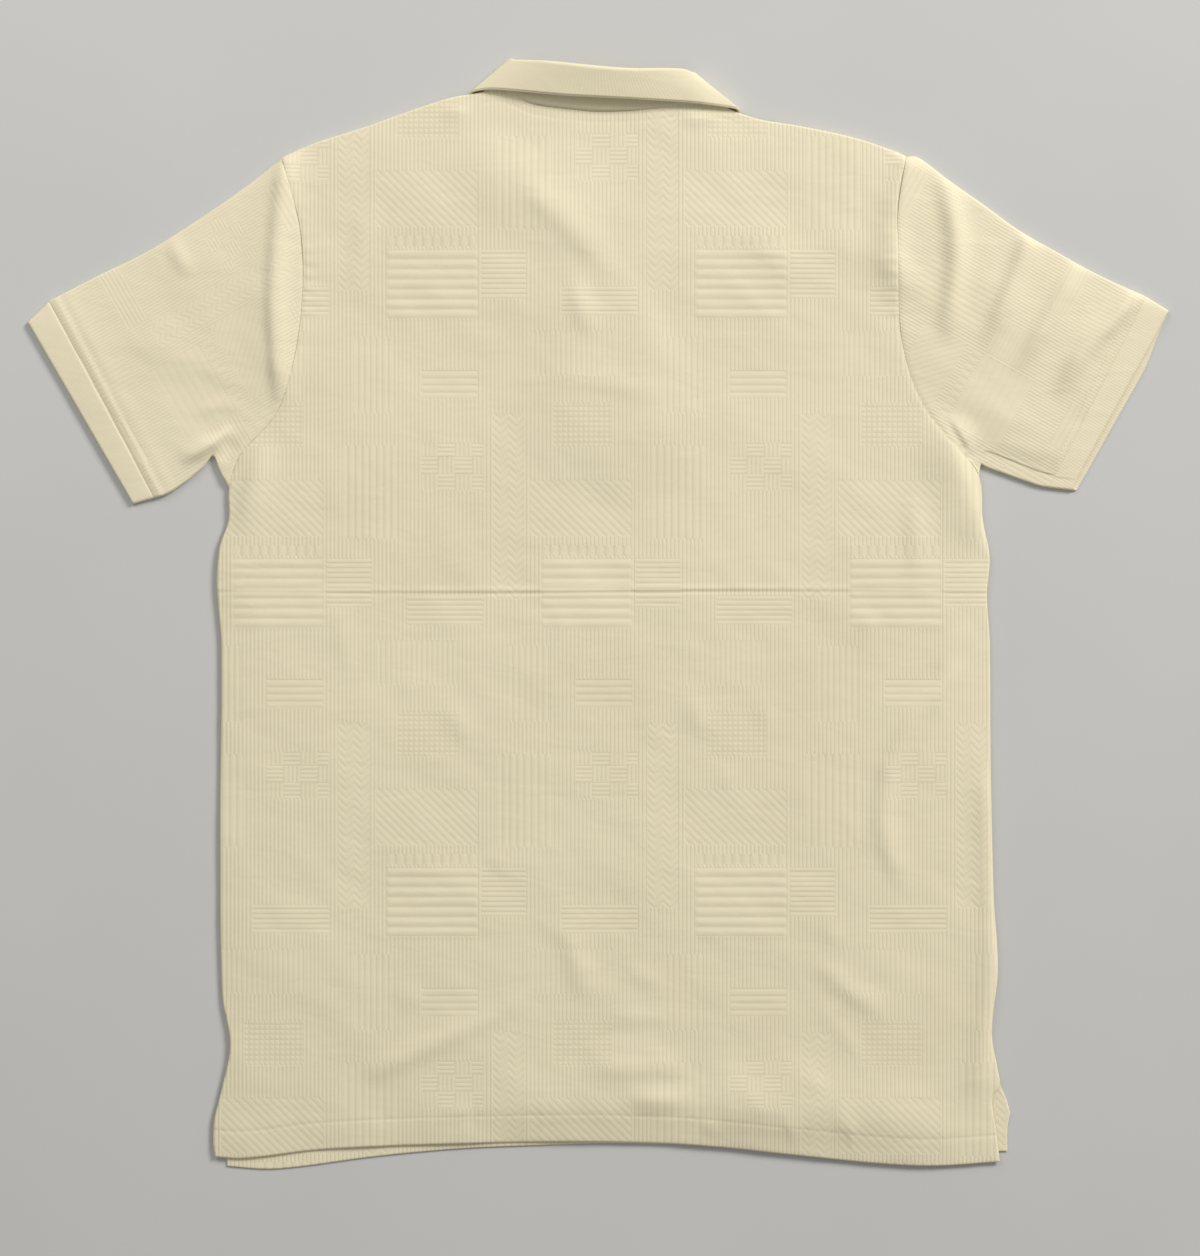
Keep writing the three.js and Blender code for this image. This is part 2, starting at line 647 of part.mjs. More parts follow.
function cutAway(wasm, shape, cutter) {
  const solid = (geometry) => {
    const plain = geometry.clone();
    plain.deleteAttribute('normal');
    plain.deleteAttribute('uv');
    const merged = mergeVertices(plain, 1e-4);
    const mesh = new wasm.Mesh({
      numProp: 3,
      vertProperties: new Float32Array(merged.attributes.position.array),
      triVerts: new Uint32Array(merged.index.array),
    });
    return new wasm.Manifold(mesh);
  };
  const cut = solid(shape).subtract(solid(cutter)).getMesh();
  const geometry = new THREE.BufferGeometry();
  geometry.setAttribute('position', new THREE.BufferAttribute(new Float32Array(cut.vertProperties), 3));
  geometry.setIndex([...cut.triVerts]);
  return geometry;
}

// A flattened tube of cloth between two end lines. place(s, t) gives a point on the plan:
// s runs from one end to the other, and t from the fold along the top to the underarm fold.
// The layer below may reach past the one above at the far end, as a share of the tube's length.
function flattenedTube(place, lengthSteps, across, wall, reachBelow) {
  const shares = evenly(0, 1, lengthSteps);
  const ring = (s, inset, isOuter) => {
    const width = place(s, 0).distanceTo(place(s, 1));
    const nearFold = (inset + wall * 0.8) / width;
    const inside = across.map((t) => mix(nearFold, 1 - nearFold, t));
    const high = (p) => new THREE.Vector3(p.x, p.y, upperBottom(p.x, p.y) + (isOuter ? wall : 0));
    const low = (p) => new THREE.Vector3(p.x, p.y, isOuter ? 0 : wall);
    const fold = (p) => new THREE.Vector3(p.x, p.y, (upperBottom(p.x, p.y) + wall) / 2);
    return [
      fold(place(s, inset / width)),
      ...inside.map((t) => high(place(s, t))),
      fold(place(s * (1 + reachBelow / 2), 1 - inset / width)),
      ...[...inside].reverse().map((t) => low(place(s * (1 + reachBelow), t))),
    ];
  };
  return tubeWall(shares.map((s) => ring(s, 0, true)), shares.map((s) => ring(s, wall, false)));
}

// A plan between four edges: each point is spread from the edges on all sides.
function spread(start, end, top, under) {
  return (s, t) => {
    const a = start(t).lerp(end(t), s);
    const straightTop = start(0).lerp(end(0), s);
    const straightUnder = start(1).lerp(end(1), s);
    const topShift = top(s).sub(straightTop).multiplyScalar((1 - t) ** 2);
    const underShift = under(s).sub(straightUnder).multiplyScalar(t ** 2);
    return a.add(topShift).add(underShift);
  };
}

// Where the tubes have their points across, closest at the armpit, where the armhole turns.
const SLEEVE_ACROSS = [0, 0.12, 0.25, 0.38, 0.5, 0.6, 0.68, 0.74, 0.79, 0.835, 0.88, 0.92, 0.96, 1];
const CUFF_ACROSS = evenly(0, 1, 8);
const RIGHT_CUFF_REACH = 0.3;

const lineBetween = (from, to) => (t) => new THREE.Vector2(mix(from.x, to.x, t), mix(from.y, to.y, t));

function sleevePlan(sleeve, hole) {
  const seamTop = sleeve.top[sleeve.top.length - 1];
  const seamUnder = sleeve.under[sleeve.under.length - 1];
  const topCurve = new THREE.SplineCurve([hole.getPoint(0), ...sleeve.top.map(flatPoint)]);
  const underCurve = new THREE.SplineCurve([hole.getPoint(1), ...sleeve.under.map(flatPoint)]);
  return spread(
    (t) => hole.getPointAt(t),
    lineBetween(seamTop, seamUnder),
    (s) => topCurve.getPointAt(s),
    (s) => underCurve.getPointAt(s),
  );
}

function cuffPlan(sleeve) {
  const seamTop = flatPoint(sleeve.top[sleeve.top.length - 1]);
  const seamUnder = flatPoint(sleeve.under[sleeve.under.length - 1]);
  const endTop = flatPoint(sleeve.cuff.top);
  const endUnder = flatPoint(sleeve.cuff.under);
  const gapTop = seamTop.clone().lerp(endTop, (SEAM_GAP + 0.1) / seamTop.distanceTo(endTop));
  const gapUnder = seamUnder.clone().lerp(endUnder, (SEAM_GAP + 0.1) / seamUnder.distanceTo(endUnder));
  return (s, t) => {
    const a = gapTop.clone().lerp(gapUnder, t);
    return a.lerp(endTop.clone().lerp(endUnder, t), s);
  };
}

// One station of the collar: the middle line of the band, from its seam over the roll to its free edge.
function collarSection(row) {
  const turn = THREE.MathUtils.degToRad(row.turn);
  const facing = Math.cos(turn);
  const under = row.turn > 135;
  const onBack = row.turn < 45;
  const middle = (PLACKET_RISE + CLOTH / 2 + upperBottom(NECK_LEFT.x, NECK_LEFT.y) + CLOTH / 2) / 2;
  let seamY = onBack ? backNeckY(row.seamX) : NECK_LEFT.y;
  if (under) {
    seamY = frontNeckY(row.seamX);
  } else if (!onBack) {
    seamY = row.seamX < 0 ? NECK_LEFT.y : NECK_RIGHT.y;
  }
  const stand = new THREE.Vector2(row.rollX - row.seamX, row.rollY - seamY);
  const towardsRoll = stand.clone().normalize();
  const seam = new THREE.Vector3(
    row.seamX + towardsRoll.x * NECKLINE_GAP,
    seamY + towardsRoll.y * NECKLINE_GAP,
    onBack ? upperBottom(row.seamX, seamY) + CLOTH / 2 : middle + STAND_HALF_GAP * facing,
  );
  const roll = new THREE.Vector3(row.rollX, row.rollY, middle + STAND_HALF_GAP * facing + row.lift);
  const edgeFromSeam = new THREE.Vector2(row.edgeX - row.seamX, row.edgeY - seamY);
  const edgeAlong = clamp(edgeFromSeam.dot(stand) / stand.lengthSq(), 0, 1);
  const standBeside = mix(seam.z, roll.z, edgeAlong);
  const edge = new THREE.Vector3(row.edgeX, row.edgeY, standBeside + LEAF_GAP * facing);
  const rise = roll.clone().sub(seam).normalize();
  const side = row.seamX < CENTRE_FRONT ? 1 : -1;
  const awayFromNeck = new THREE.Vector3(-towardsRoll.y * side, towardsRoll.x * side, 0);
  const outward = new THREE.Vector3(0, 0, facing).addScaledVector(awayFromNeck, Math.sin(turn));
  outward.addScaledVector(rise, -outward.dot(rise)).normalize();
  const radius = ROLL_RADIUS + ROLL_SPREAD * row.lift;
  const around = (angle) => roll.clone()
    .addScaledVector(outward, radius * (1 - Math.cos(angle)))
    .addScaledVector(rise, radius * Math.sin(angle));
  const leafStart = around(Math.PI);
  return [
    seam,
    seam.clone().lerp(roll, 1 / 3),
    seam.clone().lerp(roll, 2 / 3),
    roll,
    around(Math.PI / 4),
    around(Math.PI / 2),
    around((Math.PI * 3) / 4),
    leafStart,
    leafStart.clone().lerp(edge, 1 / 3),
    leafStart.clone().lerp(edge, 2 / 3),
    edge,
  ];
}

function collarGeometry() {
  const names = Object.keys(COLLAR[0]);
  const numbered = COLLAR.map((row, index) => ({ ...row, index }));
  const curves = names.map((name) => [name, column(numbered, 'index', name)]);
  const rowAt = (place) => Object.fromEntries(curves.map(([name, value]) => [name, value(place)]));
  const lastRow = COLLAR.length - 1;
  const sections = evenly(0, lastRow, lastRow * COLLAR_STEPS).map((place) => collarSection(rowAt(place)));
  const faces = (side) => sections.map((section, s) => section.map((point, k) => {
    const before = sections[Math.max(s - 1, 0)][k];
    const after = sections[Math.min(s + 1, sections.length - 1)][k];
    const below = section[Math.max(k - 1, 0)];
    const above = section[Math.min(k + 1, section.length - 1)];
    const normal = after.clone().sub(before).cross(above.clone().sub(below)).normalize();
    return point.clone().addScaledVector(normal, (side * RIB) / 2);
  }));
  return sheetWall(faces(1), faces(-1));
}

function placketStrip(bottom) {
  const top = (x) => frontNeckY(x) - SEAM_GAP;
  const foot = FRONT_NECK_MIDDLE - PLACKET_LENGTH;
  const columns = evenly(CENTRE_FRONT - PLACKET_WIDTH / 2, CENTRE_FRONT + PLACKET_WIDTH / 2, 4);
  const row = (t, z) => columns.map((x) => new THREE.Vector3(x, mix(foot, top(x), t), z));
  const face = (z) => evenly(0, 1, 4).map((t) => row(t, z));
  return sheetWall(face(bottom + PLACKET_CLOTH), face(bottom));
}

// A button with a sunk middle, its face towards the surface that the shirt lies on.
function buttonGeometry() {
  const profile = [
    [0, 0.7],
    [BUTTON_RADIUS - 1.8, 0.7],
    [BUTTON_RADIUS - 1.2, 0],
    [BUTTON_RADIUS - 0.3, 0],
    [BUTTON_RADIUS, 0.6],
    [BUTTON_RADIUS - 0.4, BUTTON_HEIGHT],
    [0, BUTTON_HEIGHT],
  ];
  const shape = new THREE.LatheGeometry(profile.map(([r, z]) => new THREE.Vector2(r, z)), 20);
  shape.rotateX(Math.PI / 2);
  return shape;
}

const textured = new THREE.MeshStandardMaterial({ color: 0xe3d8b7, roughness: 0.9, metalness: 0 });
const ribbed = new THREE.MeshStandardMaterial({ color: 0xddd1b2, roughness: 0.88, metalness: 0 });
const pearl = new THREE.MeshStandardMaterial({ color: 0xe8dfc8, roughness: 0.35, metalness: 0 });

function piece(name, geometry, material) {
  const mesh = new THREE.Mesh(geometry, material.clone());
  mesh.name = name;
  return mesh;
}

const wasm = await Module();
wasm.setup();

const shirt = new THREE.Group();
const leftPlan = sleevePlan(LEFT_SLEEVE, leftArmhole);
const rightPlan = sleevePlan(RIGHT_SLEEVE, rightArmhole);
shirt.add(
  piece('back_panel', backGeometry(), textured),
  piece('front_panel', frontGeometry(wasm), textured),
  piece('sleeve_left', flattenedTube(leftPlan, 10, SLEEVE_ACROSS, CLOTH, 0), textured),
  piece('sleeve_right', flattenedTube(rightPlan, 10, SLEEVE_ACROSS, CLOTH, 0), textured),
  piece('cuff_left', flattenedTube(cuffPlan(LEFT_SLEEVE), 2, CUFF_ACROSS, RIB, 0), ribbed),
  piece('cuff_right', flattenedTube(cuffPlan(RIGHT_SLEEVE), 2, CUFF_ACROSS, RIB, RIGHT_CUFF_REACH), ribbed),
  piece('collar', collarGeometry(), ribbed),
  piece('placket_outer', placketStrip(PLACKET_RISE - 0.3), textured),
  piece('placket_inner', placketStrip(PLACKET_RISE + PLACKET_CLOTH), textured),
);
BUTTON_DROPS.forEach((drop, i) => {
  const button = piece(`button_${i + 1}`, buttonGeometry(), pearl);
  button.position.set(CENTRE_FRONT, FRONT_NECK_MIDDLE - drop, 0);
  shirt.add(button);
});

// The origin is at the middle of the laid-out shirt, on the surface.
shirt.updateMatrixWorld(true);
const box = new THREE.Box3().setFromObject(shirt);
const middle = box.getCenter(new THREE.Vector3());
shirt.position.set(-middle.x, -middle.y, -box.min.z);
shirt.updateMatrixWorld(true);

export default shirt;
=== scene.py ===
"""A cream short-sleeved knit polo shirt, laid out flat with its back up.

Sizes are millimetres in the shirt's own plan: x to the right, y from the hem to the collar, z up from
the surface. A piece's points are worked out there and then put into the frame, in metres.
"""
import math
from contextlib import contextmanager

import bmesh
import bpy
import numpy as np
from mathutils import Matrix, Vector, noise


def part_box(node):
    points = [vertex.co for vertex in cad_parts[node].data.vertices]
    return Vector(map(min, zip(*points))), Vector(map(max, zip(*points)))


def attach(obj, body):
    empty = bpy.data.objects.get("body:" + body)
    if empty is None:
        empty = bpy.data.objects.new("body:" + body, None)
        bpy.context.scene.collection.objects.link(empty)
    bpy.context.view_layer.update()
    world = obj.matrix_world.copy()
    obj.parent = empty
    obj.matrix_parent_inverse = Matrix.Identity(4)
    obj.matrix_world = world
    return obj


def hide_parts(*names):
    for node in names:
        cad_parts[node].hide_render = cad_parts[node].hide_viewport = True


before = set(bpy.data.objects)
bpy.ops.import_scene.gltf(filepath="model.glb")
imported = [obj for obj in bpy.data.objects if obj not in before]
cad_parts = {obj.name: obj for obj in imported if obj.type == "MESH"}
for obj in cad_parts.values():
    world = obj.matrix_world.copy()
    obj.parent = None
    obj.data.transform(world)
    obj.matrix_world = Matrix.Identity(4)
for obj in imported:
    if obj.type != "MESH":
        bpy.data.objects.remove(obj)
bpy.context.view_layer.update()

MM = 0.001
CLOTH = 1.4
RIB = 1.6
SEAM_GAP = 0.3

# The two layers: the front lies on the surface, the back and the sleeves' upper layers on the front.
# Both are lifted over the placket and the collar's front half, the upper one more softly.
UPPER_LAYER = 2.0
AIR_BETWEEN_LAYERS = 1.6
AIR_FADE = 19.0
PLACKET_RISE = 2.8
NECK_RISE = 1.0
UPPER_SOFTNESS = 3.2
NECK_LIFT_Y = 330.0
NECK_LIFT_HALF = (106.0, 84.0)
NECK_LIFT_FADE = 0.45
PLACKET_MARGIN = 4.0

# Folds die away over the taper at each end, and near the shirt's outline.
FOLD_TAPER = 40.0
FOLD_TAPER_SHARE = 0.45
FOLD_EDGE_FADE = 3.6

# Soft unevenness of the laid cloth: how far apart its swells, slanting swells and dents are.
SLOW_SCALE = 62.0
SLANT_SCALE = 22.0
FINE_SCALE = 9.5

CENTRE_FRONT = 5.65
NECK_LEFT = (-80.5, 362.6)
NECK_RIGHT = (91.8, 350.6)
FRONT_NECK_DROP = 74.0
NECK_FLATNESS = 2.6
NECK_FULLNESS = 0.62
FRONT_INSET = 1.2
PLACKET_LENGTH = 140.0
PLACKET_WIDTH = 30.0
PLACKET_FADE = 20.0
PLACKET_CLOTH = 1.2
BUTTON_DROPS = (11.0, 61.0, 111.0)
BUTTON_PROFILE = [
    (0.0, 0.75), (3.2, 0.75), (3.7, 0.55), (4.0, 0.15), (4.4, 0.0), (5.0, 0.06), (5.4, 0.5),
    (5.5, 1.0), (5.25, 1.6), (4.6, 2.0), (3.4, 2.1), (0.0, 2.1),
]

# Half outlines of the back as (y, x), from the hem to the shoulder: side seam, then armhole.
BACK_LEFT_EDGE = [
    (-380.1, -268.1), (-371.7, -269.5), (-354.2, -268.8), (-336.7, -264.6), (-301.7, -257.6),
    (-266.7, -263.2), (-144.2, -264.6), (-21.7, -263.9), (22.0, -266.9), (48.3, -264.6),
    (66.0, -258.6), (88.2, -258.3), (112.0, -250.0), (122.7, -240.0), (134.3, -229.3),
    (149.5, -220.4), (167.4, -215.0), (187.0, -210.6), (217.4, -207.0), (245.9, -206.1),
    (270.9, -208.3), (292.4, -213.2), (319.9, -221.2),
]
BACK_RIGHT_EDGE = [
    (-383.6, 281.4), (-360.5, 278.6), (-338.0, 276.0), (-329.7, 281.5), (-319.2, 280.0),
    (-293.0, 275.8), (-249.2, 280.0), (-196.7, 277.2), (-109.2, 275.1), (-21.7, 274.4),
    (13.3, 272.3), (40.0, 274.2), (65.8, 269.5), (97.0, 266.7), (114.8, 253.1),
    (124.4, 243.5), (138.9, 232.2), (155.0, 223.3), (172.6, 217.0), (195.2, 212.1),
    (219.2, 210.5), (251.3, 210.0), (283.5, 209.7), (320.6, 215.6),
]
LEFT_ARMPIT = 88.2
RIGHT_ARMPIT = 97.0
LEFT_ARMHOLE_TOP = 319.4
RIGHT_ARMHOLE_TOP = 320.2
ARMHOLE_POINTS = 40

# The front shows past the back at the two side vents and along the left of the hem.
LEFT_VENT_TOP = -330.0
RIGHT_VENT_TOP = -328.5
FRONT_LEFT_VENT = [(-386.8, -259.8), (-370.0, -261.5), (-350.0, -264.0), (-330.0, -262.0)]
FRONT_RIGHT_VENT = [(-376.6, 286.8), (-359.1, 287.0), (-347.0, 288.9), (-337.0, 284.6), (-328.5, 281.4)]

BACK_HEM = [
    (-270.0, -380.1), (-248.5, -381.2), (-194.6, -375.1), (-135.5, -372.1), (-60.0, -370.0),
    (1.4, -369.6), (70.0, -372.1), (138.9, -379.0), (197.8, -384.9), (237.1, -386.4),
    (282.0, -383.6),
]
FRONT_HEM = [
    (-262.0, -386.8), (-225.8, -388.8), (-155.1, -380.0), (-96.2, -374.6), (-37.2, -372.1),
    (15.4, -370.7), (138.9, -373.5), (287.0, -376.6),
]
LEFT_SHOULDER = [
    (-221.2, 319.9), (-199.5, 329.0), (-160.3, 341.6), (-124.6, 354.2), (-102.0, 361.2),
    (-89.0, 363.4), (-80.5, 365.2),
]
RIGHT_SHOULDER = [
    (91.8, 353.2), (100.0, 349.8), (114.8, 345.4), (138.6, 341.6), (179.2, 333.2),
    (207.9, 323.8), (215.6, 320.6),
]
BACK_NECK = [
    (-80.5, 365.2), (-68.0, 366.2), (-61.6, 364.6), (-50.0, 358.8), (-43.0, 356.6), (-25.2, 354.0),
    (-3.5, 351.8), (15.4, 351.8), (31.7, 352.8), (48.0, 354.4), (64.4, 356.2), (78.0, 356.0),
    (91.8, 353.2),
]

# Sleeves: the fold along the top, the underarm edge and the cuff's far corners. side is -1 at the
# left. turn is the weave's angle, seed sets the unevenness. Where the underarm is tucked in, the upper
# layer ends in a fold at that distance from the edge, and the cuff's lower layer reaches further out.
LEFT_SLEEVE = {
    "side": -1,
    "turn": 60.0,
    "seed": 3.3,
    "tuck": 0.0,
    "cuff_tuck": 0.0,
    "reach_below": 0.0,
    "top": [(-240.8, 303.8), (-263.9, 287.0), (-289.1, 270.2), (-316.4, 253.4), (-350.7, 236.6),
            (-384.0, 219.3)],
    "under": [(-264.8, 100.0), (-269.4, 110.5), (-276.5, 102.9), (-287.0, 93.8), (-300.5, 84.6),
              (-310.3, 81.3)],
    "cuff": [(-399.4, 204.4), (-325.5, 77.0)],
}
RIGHT_SLEEVE = {
    "side": 1,
    "turn": -61.0,
    "seed": 6.6,
    "tuck": 12.0,
    "cuff_tuck": 10.0,
    "reach_below": 0.3,
    "top": [(225.0, 319.3), (245.7, 303.8), (269.5, 287.0), (292.6, 270.2), (321.3, 253.4),
            (352.1, 236.6), (383.5, 222.5)],
    "under": [(267.4, 101.0), (268.6, 104.6), (273.5, 102.2), (296.8, 93.8), (307.0, 90.3),
              (315.5, 88.5)],
    "cuff": [(399.6, 212.4), (330.4, 86.8)],
}

# Soft folds of the upper layer, as ridges: the crest's line, half width towards the lower left, half
# width towards the upper right, height.
FOLDS = [
    ([(-218, 340), (-226, 262), (-228, 206), (-223, 138)], 20, 13, 2.2),
    ([(-217, 340), (-225, 262), (-227, 206), (-222, 136)], 4, 10, 3.1),
    ([(-346, 196), (-303, 183), (-270, 166)], 8, 12, 0.6),
    ([(-300, 182), (-258, 165), (-233, 149)], 7, 11, 0.6),
    ([(-303, 268), (-294, 250), (-284, 232)], 4, 7, 1.4),
    ([(-262, 126), (-298, 106)], 6, 6, 1.6),
    ([(-228, 130), (-238, 101), (-247, 66), (-251, 45)], 6, 14, 2.8),
    ([(-72, 342), (-70, 305), (-37, 286), (-14, 264), (4, 240)], 26, 30, 2.4),
    ([(-62, 314), (-38, 286), (-12, 262), (14, 230)], 8, 13, 1.3),
    ([(-14, 244), (-15, 220), (-8, 203), (5, 195)], 5, 10, 1.6),
    ([(89, 272), (113, 258), (134, 237), (145, 220)], 9, 14, 1.2),
    ([(146, 274), (178, 256), (204, 246), (222, 226), (228, 200)], 12, 14, 0.9),
    ([(232, 342), (214, 303), (207, 278), (206, 250), (212, 210)], 13, 9, 3.7),
    ([(238, 320), (249, 270), (249, 234), (241, 184)], 7, 8, 4.2),
    ([(310, 290), (301, 262), (290, 232), (278, 204), (266, 180)], 4.6, 9, 4.4),
    ([(342, 258), (327, 228), (310, 198), (290, 164)], 4.6, 9, 4.0),
    ([(394, 240), (360, 205), (338, 182), (318, 146)], 4.8, 9, 4.0),
    ([(236, 158), (276, 140), (320, 119)], 9, 12, 0.9),
    ([(262, 120), (322, 110)], 5, 7, 0.8),
    ([(238, 148), (246, 118), (256, 92), (266, 64), (270, 36)], 21, 7, 4.0),
    ([(220, 94), (222, 38), (220, 10)], 5, 11, 1.8),
    ([(272, -95), (276, -170), (277, -235), (272, -290), (262, -352)], 10, 6, 3.0),
    ([(-90, -345), (0, -343), (100, -347), (190, -355), (262, -358)], 15, 24, 2.0),
    ([(60, -340), (150, -343), (240, -346)], 20, 34, 1.6),
    ([(-18, -316), (26, -318), (74, -317)], 7, 12, 2.0),
    ([(13, -338), (46, -340), (74, -338)], 6, 8, 1.8),
    ([(-172, -328), (-118, -302), (-78, -284)], 7, 9, 2.1),
    ([(-41, -211), (-23, -225), (-15, -246), (-11, -260), (8, -265)], 6, 11, 1.5),
    ([(140, -236), (180, -267), (212, -290)], 5, 9, 1.5),
]

# Small wrinkles on top of the folds, given in the same way.
WRINKLES = [
    ([(-110, 351), (-88, 350)], 7, 5, 1.0),
    ([(-165, 293), (-165, 255), (-177, 222)], 6, 10, 1.1),
    ([(-186, 108), (-186, 66)], 5, 7, 0.6),
    ([(-185, 10), (-178, -25), (-168, -53)], 5, 8, 0.8),
    ([(-111, -60), (-88, -92)], 5, 8, 0.7),
    ([(-138, -40), (-127, -60)], 4, 6, 0.5),
    ([(-29, 10), (-26, -25)], 3, 6, 0.6),
    ([(-80, -165), (-62, -186)], 4, 7, 0.6),
    ([(-112, -296), (-76, -284), (-41, -262)], 5, 7, 0.8),
    ([(-150, -262), (-118, -275)], 7, 9, 0.6),
    ([(15, -247), (50, -262)], 5, 8, 0.7),
    ([(0, -282), (64, -284)], 5, 7, 0.8),
    ([(-8, -301), (50, -303)], 4, 6, 0.6),
    ([(59, -53), (80, -92)], 6, 9, 0.7),
    ([(30, -56), (42, -98)], 8, 12, 0.6),
    ([(110, -50), (124, -98)], 5, 8, 0.6),
    ([(78, -108), (100, -120)], 6, 9, 0.5),
    ([(157, -200), (168, -242)], 5, 8, 0.8),
    ([(264, -30), (233, -58), (208, -95), (198, -141), (205, -175), (218, -198)], 4, 9, 2.1),
    ([(-34, 164), (4, 161), (50, 153)], 4, 10, 0.8),
    ([(262, -4), (246, -24), (238, -52)], 5, 8, 1.4),
    ([(202, -95), (198, -118)], 4, 6, 0.6),
    ([(241, -53), (238, -81)], 4, 6, 0.7),
    ([(134, -316), (166, -340)], 4, 6, 0.8),
    ([(72, -352), (84, -368)], 4, 5, 0.9),
    ([(130, -348), (138, -372)], 4, 5, 0.9),
    ([(168, -346), (180, -372)], 4, 5, 0.9),
    ([(100, -330), (118, -352)], 4, 6, 0.6),
    ([(140, -262), (176, -300), (200, -330)], 4, 7, 0.7),
    ([(186, 6), (190, -20)], 4, 7, 0.7),
    ([(-110, -346), (-84, -350)], 5, 7, 0.7),
    ([(52, 345), (88, 345)], 2.5, 6, 1.2),
    ([(-252, 133), (-264, 124), (-277, 114), (-294, 104)], 3.4, 3.6, 3.0),
    ([(-250, 124), (-258, 114), (-264, 104)], 5, 5, -1.4),
    ([(-246, 140), (-262, 146), (-286, 138)], 4, 6, 0.9),
    ([(245, 142), (252, 130), (258, 120), (266, 110)], 3, 8, 2.4),
]

# The knitted-in blocks of broad bars, by their lower middle.
BAR_PITCH = 7.0
BARS_PER_BLOCK = 7
BAR_RELIEF = 0.32
BLOCK_WIDTH = 64.0
BLOCK_EDGE = 1.6
BAR_BLOCKS = [(-116, 206), (100, 206), (-224, -10), (-8, -10), (208, -10), (-116, -226), (100, -226)]

# The collar by stations round the neck, from one front end to the other:
# seam x, roll x and y, free edge x and y, turn, lift.
# turn is 0 where its outer side faces up, 90 at the crease beside the neck, 180 under the front.
COLLAR = [
    (5.2, 4.9, 307, -27, 266, 180, 0),
    (-14, -8, 309, -38, 274, 180, 0),
    (-42, -27, 319, -53, 286.5, 180, 0),
    (-66, -44, 337, -74, 313, 180, 0),
    (-76.5, -54, 361, -84, 338, 180, 0),
    (-79.6, -59, 381, -87, 362, 165, 0),
    (-79.9, -60.6, 385, -88.4, 364.2, 90, 0),
    (-78.4, -58.6, 385.2, -85.4, 365.6, 15, 0),
    (-68, -52, 384.9, -74, 366.6, 0, 3),
    (-46, -36, 383.4, -50, 364.4, 0, 9),
    (-21, -17, 381.2, -24, 361.8, 0, 13),
    (5, 4, 379, 6, 360.1, 0, 14.5),
    (31, 26, 377.8, 34, 358.8, 0, 13),
    (58, 46, 378.4, 63, 357.2, 0, 9),
    (80, 60, 378.6, 84, 355, 0, 4),
    (90, 65.2, 376.8, 95.6, 353.4, 15, 0.8),
    (91.2, 66.4, 374.6, 98.8, 351.6, 90, 0),
    (91, 65, 371, 97.8, 349.6, 165, 0),
    (87.6, 60, 354, 94, 329, 180, 0),
    (76.5, 53, 332, 84, 306, 180, 0),
    (52, 37, 316, 64, 283, 180, 0),
    (25, 19, 308, 49.5, 272, 180, 0),
    (6.1, 6.4, 307, 38.3, 265, 180, 0),
]
COLLAR_STEPS = 8

# The share of a station's lift that its roll has, as the collar leans.
LEAN = 0.62

# The seam lies just off the front's neckline and just within the back's edge. The front's stand is
# below the back's, and each leaf is off its stand, less so where the roll isn't lifted.
NECKLINE_GAP = 0.9
BACK_SEAM_INSET = -0.5
STAND_HALF_GAP = 1.45
LEAF_GAP = 3.0
LEAF_END_GAP = 1.6
LEAF_GAP_LIFT = 4.0

# The roll widens with its lift, and the leaf's free edge rises by a share of it.
ROLL_RADIUS = 1.35
ROLL_SPREAD = 0.055
LEAF_LIFT = 0.3
STAND_POINTS = 10
ROLL_POINTS = 13
LEAF_POINTS = 16

# A panel's grid: upright columns between the armholes, spread to the edges outside them, and level
# rows that bend to the hem below and to the shoulders and neck above.
UPRIGHT_HALF = 190.0
PANEL_HALF = 266.0
PANEL_FOOT = -375.0
PANEL_TOP = 352.0
HEM_BLEND = 70.0
BACK_TOP_BLEND = 130.0
FRONT_TOP_BLEND = 260.0
PANEL_ROUNDS = 8
BACK_ROW_STEP = 4.1
BACK_COLUMN_STEP = 4.2
FRONT_STEP = 8.0

# Sewn lines, by their distance from the edge, and their grooves, by depth and half width.
HEM_DEPTH = 19.0
NECK_SEAM = 8.0
NECK_TURN = 2.4
HEM_GROOVE = (0.2, 1.0)
FRONT_HEM_GROOVE = (0.3, 0.9)
NECK_SEAM_GROOVE = (0.14, 0.9)
NECK_TURN_GROOVE = (0.3, 0.8)
ARMHOLE_GROOVE = (0.38, 1.5)
CUFF_SEAM_GROOVE = (0.35, 1.1)
CUFF_START_GROOVE = (0.45, 0.9)
PLACKET_GROOVE = (0.25, 0.5)
PLACKET_GROOVE_INSET = 3.2
STITCH_SINK = 0.05
HEM_STITCH_SPAN = (-262.0, 276.0)
NECK_STITCH_SPAN = (-72.0, 84.0)
NECK_RIM_SPAN = (-78.0, 90.0)
NECK_RIM_RADIUS = 1.35
NECK_RIM_RISE = 0.35
NECK_RIM_OUT = 0.4
LAYER_SEAM_SWELL = 0.35
COLLAR_EDGE_RADIUS = 0.78

# The crease that the shirt was folded along in storage: a groove with a ridge above it.
STORAGE_CREASE = 15.0
CREASE_GROOVE = (0.6, 1.1)
CREASE_RIDGE = (0.5, 2.4)
CREASE_RIDGE_ABOVE = 2.2


# Lines and plans


def smooth(t):
    s = np.clip(t, 0.0, 1.0)
    return s * s * (3 - 2 * s)


def bump(distance, half_width):
    """1 on a line, falling to 0 away from it."""
    return np.exp(-((distance / half_width) ** 2))


def groove(distance, shape):
    """The depth of a groove, or the height of a ridge, of a depth and a half width."""
    depth, half_width = shape
    return depth * bump(distance, half_width)


def walked_along(points):
    """The way walked along a line of points, at each of them."""
    steps = np.linalg.norm(np.diff(points, axis=0), axis=1)
    return np.concatenate([[0], np.cumsum(steps)])


